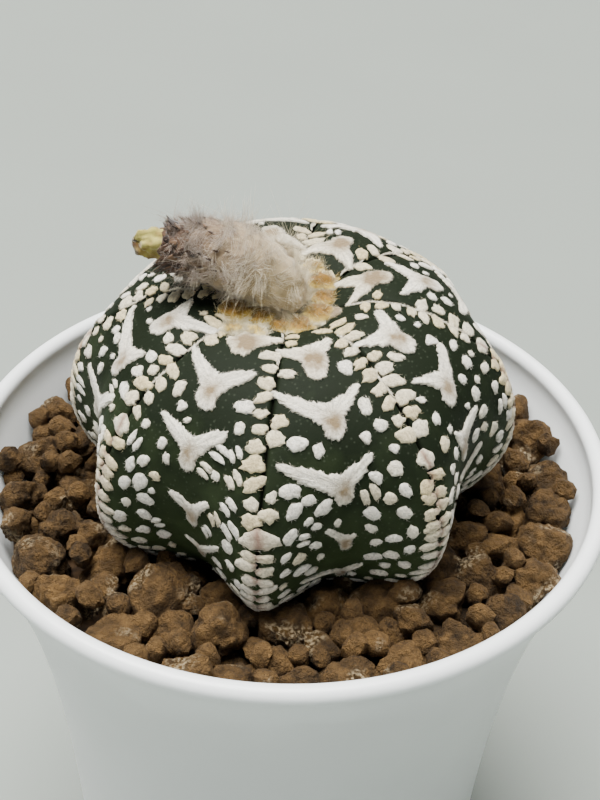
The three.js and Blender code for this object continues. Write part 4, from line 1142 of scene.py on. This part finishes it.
class CACTUS_OT_body(bpy.types.Operator):
    """Grows the ribbed globe with its taproot"""
    bl_idname = "cactus.body"
    bl_label = "Cactus body"

    def execute(self, context):
        """The globe's formula on a grid of 36 steps across each rib, spaced as a cosine so that they
        are closer together at the seams, and 150 rows down, then narrowing rings for the root."""
        body = context.scene.cactus_body
        steps = 0.5 - 0.5 * np.cos(np.pi * np.arange(36) / 36)
        turn = (np.arange(RIBS)[:, None] + steps[None]).ravel()
        down = np.linspace(0, 1, 151)[1:]
        depth = (np.clip((down - CRACK_START) / CRACK_RISE, 0, 1)
                 * np.clip((CRACK_END - down) / CRACK_FALL, 0, 1))
        skin = body_surface(turn[None], down[:, None], slit=body.slit / MM * depth[:, None])
        skin = skin + unit(skin - skin.mean((0, 1))) * (0.06 * waves(skin, 6.0, 9, 2))[..., None]
        azimuth = np.arctan2(skin[-1, :, 1] - BODY_CENTRE[1], skin[-1, :, 0] - BODY_CENTRE[0])
        rings = [skin]
        for height, radius in ROOT_RINGS:
            rings.append(np.stack([BODY_CENTRE[0] + radius * np.cos(azimuth),
                                   BODY_CENTRE[1] + radius * np.sin(azimuth),
                                   np.full(len(azimuth), height)], -1)[None])
        skin = np.concatenate(rings)
        crown = body_surface(0.0, 1e-4).reshape(1, 3)
        points = np.concatenate([crown, skin.reshape(-1, 3), [[*BODY_CENTRE, ROOT_TIP]]])
        # A rib is about 21 mm wide, and the crack's painted shade is a dark line, a bell curve 0.2 mm to
        # each side.
        from_seam = 21 * np.minimum(steps, 1 - steps)
        near = np.exp(-(from_seam / 0.2) ** 2)
        crack = np.zeros(skin.shape[:2])
        crack[:len(down)] = depth[:, None] * np.tile(near, RIBS)[None]
        crack = np.concatenate([[0], crack.ravel(), [0]])
        mesh = new_mesh("ribbed_globe", points, *skin_faces(len(skin), len(turn)), cactus_skin(body),
                        {"crack": crack})
        new_piece("ribbed_globe", mesh, "cactus_body")
        return {"FINISHED"}


class CACTUS_OT_felt(bpy.types.Operator):
    """Lays the V-shaped marks, flecks and seam ladders of felt on the ribs"""
    bl_idname = "cactus.felt"
    bl_label = "Felt"

    def execute(self, context):
        """Marks, flecks and ladder bars as thin closed pads on the globe, each with a fringe of
        hairs. Young felt, near the crown, is creamier and has wider areoles."""
        felt = context.scene.cactus_felt
        material = felt_wool(felt)
        points, away, edge_shade, number, fibre, centre, hairs, *faces = mark_skins(felt.mark_height / MM)
        young = np.clip((16 - centre[:, 1]) / 12, 0, 1)
        cream = 0.12 + 0.7 * young[number]
        areole = (1 + 1.3 * young[number]) * np.exp(-(away / (1.4 + 0.9 * young[number])) ** 2)
        mesh = new_mesh("felt_marks", points, *faces, material,
                        {"cream": cream, "areole": areole, "edge_shade": 0.25 * edge_shade, "rust": 0 * edge_shade,
                         "fibre": fibre})
        new_piece("felt_marks", mesh, "cactus_body")

        flecks, bars = np.array(fleck_plan(felt.spacing / MM)), np.array(ladder_plan())
        self.lay("felt_flecks", flecks, material, 0.07, seed=5)
        self.lay("seam_ladders", bars, material, 0.08, seed=12, rust=True)
        of_mark = np.repeat(0.12 + 0.7 * young, len(hairs[0]) // len(young))
        fringes = {"mark_fringe": (*hairs, of_mark), "fleck_fringe": self.hair_ends(flecks, seed=7),
                   "ladder_fringe": self.hair_ends(bars, seed=8)}
        for name, (rib, roots, tips, cream) in fringes.items():
            points, quads, triangles = fringe(rib, roots, tips, seed=9)
            cream = np.repeat(cream, points.shape[1])
            mesh = new_mesh(name, points, quads, triangles, material,
                            {"cream": cream, "areole": 0 * cream, "edge_shade": 0 * cream, "rust": 0 * cream})
            new_piece(name, mesh, "cactus_body")
        return {"FINISHED"}

    def hair_ends(self, rows, seed, each=15):
        """Ribs, roots and tips of the hairs round some pads, at random angles, and their cream."""
        random = np.random.default_rng(seed)
        angle = random.uniform(0, 2 * np.pi, size=(len(rows), each))
        turned = angle + random.normal(size=angle.shape) * 0.25
        length = random.uniform(0.04, 0.24, size=angle.shape)
        roots = np.stack(pad_place(rows, angle, 0.9), -1).reshape(-1, 2)
        tips = np.stack(pad_place(rows, turned, 1 + length / rows[:, 3, None]), -1).reshape(-1, 2)
        return np.repeat(rows[:, 0].astype(int), each), roots, tips, np.repeat(rows[:, 6], each)

    def lay(self, name, rows, material, ragged, seed, rust=False):
        """One piece of pads. The painted shade at the edge rises over the last fifth of the way out, and
        the rust is a bell curve of the distance from the seam, wider on the large top bars."""
        points, out, angle, number, quads, triangles = pads(rows, seed, ragged)
        edge_shade = np.clip((out - 0.8) / 0.2, 0, 1) * 0.3
        stripe = np.zeros(out.shape)
        if rust:
            seam = -np.array([half_width(int(row[0]), row[2]) for row in rows])
            from_seam = rows[:, 1][number] - seam[number] + out * np.cos(angle) * rows[:, 3][number]
            broad = (rows[:, 3] > 2)[number]
            stripe = 0.8 * np.exp(-(from_seam / np.where(broad, 0.9, 0.4)) ** 2)
        round_it = 2.6 * (out > 0)
        mesh = new_mesh(name, points, quads, triangles, material,
                        {"cream": rows[:, 6][number], "edge_shade": edge_shade, "rust": stripe,
                         "areole": np.clip(0.7 * rows[:, 6][number] - 0.15, 0, 0.4) * (1 - out),
                         "fibre": np.stack([round_it * np.cos(angle), round_it * np.sin(angle),
                                            5.3 * number], -1)})
        new_piece(name, mesh, "cactus_body")


def along_stations(stations, part):
    """Centre, radius, direction along and two directions across at parts 0 to 1 of a tube. Its
    stations are joined by straight lines, which run on past both ends, and 121 points on them are
    each smoothed as the mean of 13 neighbours."""
    place = np.linspace(0, 1, len(stations))
    fine = np.linspace(-0.1, 1.1, 121)
    values = np.stack([np.interp(fine, place, stations[:, i]) for i in range(4)], -1)
    ends = np.clip(fine, 0, 1) - fine
    slope = np.where(ends[:, None] > 0, stations[0] - stations[1], stations[-1] - stations[-2])
    values = values + np.abs(ends)[:, None] * slope * (len(stations) - 1) * (1, 1, 1, 0)
    soft = np.stack([np.convolve(values[:, i], np.ones(13) / 13, mode="same") for i in range(4)], -1)
    at = np.stack([np.interp(part, fine, soft[:, i]) for i in range(4)], -1)
    ahead = np.stack([np.interp(part + 0.02, fine, soft[:, i]) for i in range(3)], -1)
    behind = np.stack([np.interp(part - 0.02, fine, soft[:, i]) for i in range(3)], -1)
    along = unit(ahead - behind)
    level = unit(np.cross((0.0, 1.0, 0.0), along))
    return at[..., :3], at[..., 3], along, level, np.cross(along, level)


def tube_point(stations, part, turn, out=0.0):
    """A point on a tube: its centre at part, moved by the radius plus out along the direction at
    turn. Returns the point, the outward direction and the direction along."""
    centre, radius, along, level, across = along_stations(stations, part)
    outward = level * np.cos(turn)[..., None] + across * np.sin(turn)[..., None]
    return centre + outward * (radius + out)[..., None], outward, along


class CACTUS_OT_wool(bpy.types.Operator):
    """Sets the tufts of wool on the crown"""
    bl_idname = "cactus.wool"
    bl_label = "Crown wool"

    def execute(self, context):
        """Each tuft is a low dome made uneven by waves, with short hairs that stand outwards, lean
        at random and curl with the waves. Its ochre grows towards the top."""
        random = np.random.default_rng(3)
        tufts = np.array(TUFTS)
        base = sphere_of_points(12, 20)
        shape = base[None] * tufts[:, None, 3:4] * (1.05, 1.05, 0.62)
        spots = shape + tufts[:, None, :3] * 7
        shape = shape * (1 + 0.28 * waves(spots, 1.6, 21, 3))[..., None]
        points = tufts[:, None, :3] + shape
        ochre = 1.3 * np.clip(base[:, 2], 0, 1)[None] ** 1.6 * tufts[:, 4:5]
        stops = [(0.1, "#e2dabb"), (0.42, "#b9a052"), (0.9, "#7d5d22")]
        material = wool("crown_wool_cream_to_ochre", "ochre", stops)
        mesh = new_mesh("crown_tufts", points, *skin_faces(12, 20, len(tufts)), material,
                        {"ochre": ochre})
        new_piece("crown_tufts", mesh, "crown_wool")

        own = np.repeat(np.arange(len(tufts)), CROWN_HAIRS)
        count = len(own)
        way = unit(random.normal(size=(count, 3)) + (0, 0, 0.35))
        roots = tufts[own, :3] + way * tufts[own, 3:4] * (1.0, 1.0, 0.6)
        ways = unit(way + random.normal(size=(count, 3)) * 0.55)
        lean = np.stack([waves(roots, 1.3, seed, 1) for seed in (71, 72, 73)], -1)
        curls = random.normal(size=(count, 3)) * 0.3 + 0.8 * lean
        lengths = random.uniform(0.3, 0.95, size=count)
        points, quads, triangles = strands(roots, ways, curls, lengths, 0.06, rings=2)
        ochre = np.clip(way[:, 2], 0, 1) ** 2 * tufts[own, 4]
        ochre = ochre * random.uniform(0.3, 1.3, size=count) + 0.15 * lean[:, 0]
        mesh = new_mesh("crown_hairs", points, quads, triangles, material,
                        {"ochre": np.repeat(ochre, points.shape[1])})
        new_piece("crown_hairs", mesh, "crown_wool")
        return {"FINISHED"}


class CACTUS_OT_fruit(bpy.types.Operator):
    """Builds the dried fruit with its scales and wool"""
    bl_idname = "cactus.fruit"
    bl_label = "Seed pod"

    def execute(self, context):
        """The husk, its dark scales towards the end, and the wool that covers the rest."""
        self.husk()
        self.scales()
        self.hairs(context.scene.cactus_fruit)
        return {"FINISHED"}

    def husk(self):
        """A tube through the stations whose radius waves by about a tenth."""
        rings, around = 56, 44
        part = np.linspace(0, 1, rings)
        turn = -np.arange(around) * 2 * np.pi / around
        part_grid, turn_grid = np.meshgrid(part, turn, indexing="ij")
        points, outward, _ = tube_point(FRUIT_STATIONS, part_grid, turn_grid)
        points = points + outward * (0.34 * waves(points, 2.4, 31, 3))[..., None]
        ends = [along_stations(FRUIT_STATIONS, np.array(p))[0] for p in (-0.01, 1.01)]
        points = np.concatenate([ends[0][None], points.reshape(-1, 3), ends[1][None]])
        outer = np.concatenate([[0], part_grid.ravel(), [1]])
        stops = [(0.1, "#c2ae86"), (0.4, "#9c8b70"), (0.62, "#75624d"), (0.85, "#442f20")]
        mesh = new_mesh("fruit_husk", points, *skin_faces(rings, around),
                        wool("dry_fruit_husk", "outer", stops), {"outer": outer})
        new_piece("fruit_husk", mesh, "seed_pod")

    def scales(self):
        """Pointed blades, set round the fruit's outer half by the golden angle: a blade's half-width
        falls from its root to nothing at its tip as the square root of what is left, and it curls
        away from the husk with the square of its length. Those below are longer, and one large
        blade stands up on top near the end."""
        random = np.random.default_rng(8)
        count = SCALES
        part = 0.4 + 0.57 * np.linspace(0, 1, count) ** 0.6
        turn = np.arange(count) * GOLDEN_ANGLE + random.normal(size=count) * 0.25
        roots, outward, along = tube_point(FRUIT_STATIONS, part, turn, np.full(count, 0.3))
        side = np.cross(outward, along)
        under = np.clip(0.5 - outward[:, 2], 0, 1) * np.clip((part - 0.65) / 0.2, 0, 1)
        top = np.clip(outward[:, 2], 0, 1)
        length = random.uniform(0.7, 1.3, size=count) * (0.5 + 0.4 * part + 0.5 * under - 0.2 * top)
        width = random.uniform(0.38, 0.75, size=count) * (2.1 * part - 0.9 + 0.6 * under)
        lift = random.uniform(0.2, 0.9, size=count) * (0.4 + 0.8 * part)
        knob = np.argmin(np.abs(part - 0.86) + 9 * (outward[:, 2] < 0.75))
        length[knob], lift[knob], width[knob] = 1.6, 0.9, 0.85
        steps = np.array([0.0, 0.35, 0.7])
        sides = 6
        around = np.arange(sides) * 2 * np.pi / sides
        middle = (roots[:, None] + along[:, None] * (length[:, None] * steps)[..., None]
                  + outward[:, None] * (lift[:, None] * length[:, None] * steps ** 2)[..., None])
        half = width[:, None] * np.sqrt(1 - steps)
        ring = (side[:, None, None] * (half[..., None] * np.cos(around))[..., None]
                + outward[:, None, None] * (0.17 * half[..., None] * np.sin(around))[..., None])
        skin = middle[:, :, None] + ring
        tip = roots + along * length[:, None] + outward * (lift * length)[:, None]
        foot = roots - along * 0.2
        # The rings turn anticlockwise seen from the first pole, which is the tip.
        points = np.concatenate([tip[:, None], skin[:, ::-1].reshape(count, -1, 3), foot[:, None]], 1)
        dark = np.repeat(random.uniform(0, 1, size=count), points.shape[1])
        stops = [(0.1, "#24160e"), (0.5, "#3f2a1b"), (0.95, "#6a523d")]
        mesh = new_mesh("fruit_scales", points, *skin_faces(len(steps), sides, count),
                        wool("dry_brown_scales", "dark", stops), {"dark": dark})
        new_piece("fruit_scales", mesh, "seed_pod")

    def hairs(self, fruit):
        """Short matted hairs rooted all over the husk in tufts, each tuft leaning and curling its own
        way, and a seventh as many long wisps that stand out of them. They are shorter towards the
        end, and shortest on the underside there, and cut to end under the ceiling."""
        random = np.random.default_rng(4)
        tufts = WOOL_TUFTS
        tuft_part = random.uniform(0.0, 1.0, size=tufts) ** 1.15 * 0.97
        tuft_turn = random.uniform(0, 2 * np.pi, size=tufts)
        tuft_heading = random.normal(size=(2, tufts, 1))
        tuft_curl = random.normal(size=(tufts, 3)) * 0.9
        tuft_size = random.uniform(0.6, 1.25, size=tufts)
        stops = [(0.0, "#e6d8b4"), (0.4, "#d3c6ab"), (0.7, "#b3a395"), (1.0, "#927f70")]
        material = wool("fruit_wool_grey_beige", "outer", stops)
        length, width = fruit.hair_length / MM, fruit.hair_width / MM
        kinds = (("fruit_wool_short", fruit.hairs, 2, 0.05, 0.7, 0.8),
                 ("fruit_wool_long", fruit.hairs // 7, 6, 0.6, 1.0, 1.5))
        for name, count, rings, least, stand, scale in kinds:
            own = random.integers(0, tufts, size=count)
            part = np.clip(tuft_part[own] + 0.017 * random.normal(size=count), 0.0, 0.97)
            turn = tuft_turn[own] + 0.12 * random.normal(size=count)
            roots, outward, along = tube_point(FRUIT_STATIONS, part, turn)
            around = np.cross(along, outward)
            heading = tuft_heading[:, own] + 0.35 * random.normal(size=(2, count, 1))
            upright = random.uniform(least, stand, size=(count, 1)) * (1 - 0.3 * part[:, None])
            forward = 0.45 - 0.35 * part[:, None] + 0.6 * heading[0]
            ways = unit(outward * (0.25 + upright) + along * forward + around * 0.75 * heading[1])
            curls = tuft_curl[own] + random.normal(size=(count, 3)) * 0.3
            curls = curls - outward * 0.4 * (1 - upright)
            lengths = length * scale * random.uniform(0.5, 1.15, size=count) * tuft_size[own]
            bare = np.clip((part - 0.7) / 0.2, 0, 1) * np.clip(0.6 - outward[:, 2], 0, 1)
            lengths = lengths * (1.1 - 0.55 * part) * np.clip(0.55 + 3 * part, 0, 1) * (1 - 0.5 * bare)
            lengths = lengths * (1 - 0.25 * np.clip((part - 0.75) / 0.2, 0, 1))
            rise = np.maximum(ways[:, 2] + curls[:, 2], 0.05)
            lengths = np.minimum(lengths, (WOOL_CEILING - roots[:, 2]) / rise)
            points, quads, triangles = strands(roots, ways, curls, lengths, width, rings)
            outer = part * (1.25 - 0.4 * least) + random.normal(size=count) * 0.1
            mesh = new_mesh(name, points, quads, triangles, material,
                            {"outer": np.repeat(outer, points.shape[1])})
            new_piece(name, mesh, "seed_pod")


class CACTUS_OT_flower(bpy.types.Operator):
    """Builds the withered flower on the fruit's end"""
    bl_idname = "cactus.flower"
    bl_label = "Withered flower"

    def execute(self, context):
        """A tube whose radius is pleated five times round, with eleven finer pleats on them, and made
        uneven by waves. It ends in a crumpled lip that turns in. It is browner at the lip, and darker
        underneath as painted shade."""
        rings, around = 26, 40
        part = np.linspace(0, 1, rings)
        turn = -np.arange(around) * 2 * np.pi / around
        part_grid, turn_grid = np.meshgrid(part, turn, indexing="ij")
        points, outward, along = tube_point(FLOWER_STATIONS, part_grid, turn_grid)
        pleat = (0.24 * np.sin(5 * turn_grid + 2.4 * part_grid)
                 + 0.13 * np.sin(11 * turn_grid - 5 * part_grid))
        tuck = -1.1 * np.clip((part_grid - 0.84) / 0.16, 0, 1) ** 2
        points = points + outward * (pleat * (0.4 + part_grid) + tuck)[..., None]
        points = points + outward * (0.22 * waves(points, 1.3, 61, 3))[..., None]
        points = points + along * (0.5 * part_grid ** 3 * np.sin(2 * turn_grid + 1))[..., None]
        brown = 0.12 + 0.5 * np.clip((part_grid - 0.8) / 0.15, 0, 1) * waves(points, 0.9, 63, 2)
        brown = brown + 0.25 * np.clip((part_grid - 0.8) / 0.2, 0, 1)
        # The darkening on the underside is painted shade; the waves are tone that varies at random.
        brown = brown + 0.35 * np.clip(-outward[..., 2], 0, 1) + 0.25 * waves(points, 1.6, 62, 2)
        brown = np.concatenate([[0], np.clip(brown, 0, 1).ravel(), [0.45]])
        ends = [along_stations(FLOWER_STATIONS, np.array(p))[0] for p in (0.0, 0.9)]
        points = np.concatenate([ends[0][None], points.reshape(-1, 3), ends[1][None]])
        stops = [(0.1, "#a1974f"), (0.4, "#86723a"), (0.7, "#573e22"), (1.0, "#36241a")]
        mesh = new_mesh("withered_flower", points, *skin_faces(rings, around),
                        wool("dry_petal", "brown", stops), {"brown": brown})
        new_piece("withered_flower", mesh, "flower_remnant")
        return {"FINISHED"}


class CACTUS_OT_stage(bpy.types.Operator):
    """Sets the floor, the lights and the camera"""
    bl_idname = "cactus.stage"
    bl_label = "Stage"

    def execute(self, context):
        """A pale floor that runs to the horizon, a soft overhead light, a weak fill from the front
        left, a pale surround that is brightest at the horizon, and a camera 170 mm from the middle of
        the pot's rim and 39 degrees above it."""
        stage = context.scene.cactus_stage
        mesh = bpy.data.meshes.new("floor")
        far = FLOOR_REACH
        corners = [(-far, -far, 0), (far, -far, 0), (far, far, 0), (-far, far, 0)]
        mesh.from_pydata(corners, [], [(0, 1, 2, 3)])
        material, tree, surface, place = new_material("pale_floor", **{"Roughness": 0.6})
        noise = add_node(tree, "ShaderNodeTexNoise", {"Vector": place, "Scale": per_mm(60.0)})
        shade = add_node(tree, "ShaderNodeValToRGB", {"Fac": noise.outputs["Fac"]},
                         stops=[(0.3, tone(stage.floor_colour, 0.97)), (0.7, tone(stage.floor_colour))])
        tree.links.new(shade.outputs["Color"], surface.inputs["Base Color"])
        mesh.materials.append(material)
        floor = bpy.data.objects.new("floor", mesh)
        context.scene.collection.objects.link(floor)

        key = bpy.data.lights.new("key_light", "SUN")
        key.angle, key.energy, key.color = math.radians(KEY_SPREAD), stage.key_strength, KEY_COLOUR
        self.hang(key, KEY_PLACE)
        fill = bpy.data.lights.new("fill_light", "AREA")
        fill.size, fill.energy, fill.color = FILL_SIZE, FILL_SHARE * stage.key_strength, FILL_COLOUR
        self.hang(fill, FILL_PLACE)
        world = bpy.data.worlds.new("studio")
        world.use_nodes = True
        tree = world.node_tree
        way = add_node(tree, "ShaderNodeSeparateXYZ",
                       {"Vector": tree.nodes.new("ShaderNodeTexCoord").outputs["Generated"]})
        glow = add_node(tree, "ShaderNodeMapRange", {"Value": way.outputs["Z"], "From Min": 0.0,
                                                     "From Max": 0.3, "To Min": 0.5, "To Max": 0.17})
        shade = tree.nodes["Background"]
        shade.inputs["Color"].default_value = linear("#e3e8ea")
        tree.links.new(glow.outputs["Result"], shade.inputs["Strength"])
        context.scene.world = world

        camera = bpy.data.cameras.new("camera")
        camera.lens, camera.sensor_width = CAMERA_LENS, FILM_WIDTH
        camera.clip_start, camera.clip_end = 0.01, 100.0
        eye = bpy.data.objects.new("camera", camera)
        eye.location = CAMERA_PLACE
        eye.rotation_euler = [math.radians(turn) for turn in CAMERA_TURNS]
        context.scene.collection.objects.link(eye)
        context.scene.camera = eye
        return {"FINISHED"}

    def hang(self, light, place):
        """Puts a light at a place, facing the plant."""
        lamp = bpy.data.objects.new(light.name, light)
        lamp.location = place
        aim = np.array(LIGHTS_AIM) - np.array(place)
        flat = math.hypot(aim[0], aim[1])
        lamp.rotation_euler = (math.atan2(flat, -aim[2]), 0, math.atan2(-aim[0], aim[1]))
        bpy.context.scene.collection.objects.link(lamp)


STEPS = [CACTUS_OT_stage, CACTUS_OT_pot, CACTUS_OT_soil, CACTUS_OT_body, CACTUS_OT_felt,
         CACTUS_OT_wool, CACTUS_OT_fruit, CACTUS_OT_flower]
GROUPS = {"cactus_stage": StageSizes, "cactus_pot": PotSizes, "cactus_soil": SoilSizes,
          "cactus_body": BodySizes, "cactus_felt": FeltSizes, "cactus_fruit": FruitSizes}


class CACTUS_PT_panel(bpy.types.Panel):
    """Lists the steps and their sizes"""
    bl_idname = "CACTUS_PT_panel"
    bl_label = "Potted star cactus"
    bl_space_type = "VIEW_3D"
    bl_region_type = "UI"
    bl_category = "Cactus"

    def draw(self, context):
        """One button for each step, then one box of values for each group."""
        for step in STEPS:
            self.layout.operator(step.bl_idname)
        for key, group in GROUPS.items():
            box = self.layout.box()
            box.label(text=group.__doc__)
            for name in group.__annotations__:
                box.prop(getattr(context.scene, key), name)


def register():
    """Registers the groups of values, the steps and the panel."""
    for group in GROUPS.values():
        bpy.utils.register_class(group)
    for key, group in GROUPS.items():
        setattr(bpy.types.Scene, key, PointerProperty(type=group))
    for kind in [*STEPS, CACTUS_PT_panel]:
        bpy.utils.register_class(kind)


def unregister():
    """Takes away what register made: the panel and the steps, then the groups of values."""
    for kind in [CACTUS_PT_panel, *reversed(STEPS)]:
        bpy.utils.unregister_class(kind)
    for key, group in GROUPS.items():
        delattr(bpy.types.Scene, key)
        bpy.utils.unregister_class(group)


def main():
    """Registers the classes and builds the pieces in order."""
    register()
    bpy.ops.cactus.stage()
    bpy.ops.cactus.pot()
    bpy.ops.cactus.soil()
    bpy.ops.cactus.body()
    bpy.ops.cactus.felt()
    bpy.ops.cactus.wool()
    bpy.ops.cactus.fruit()
    bpy.ops.cactus.flower()


if __name__ == "__main__":
    main()
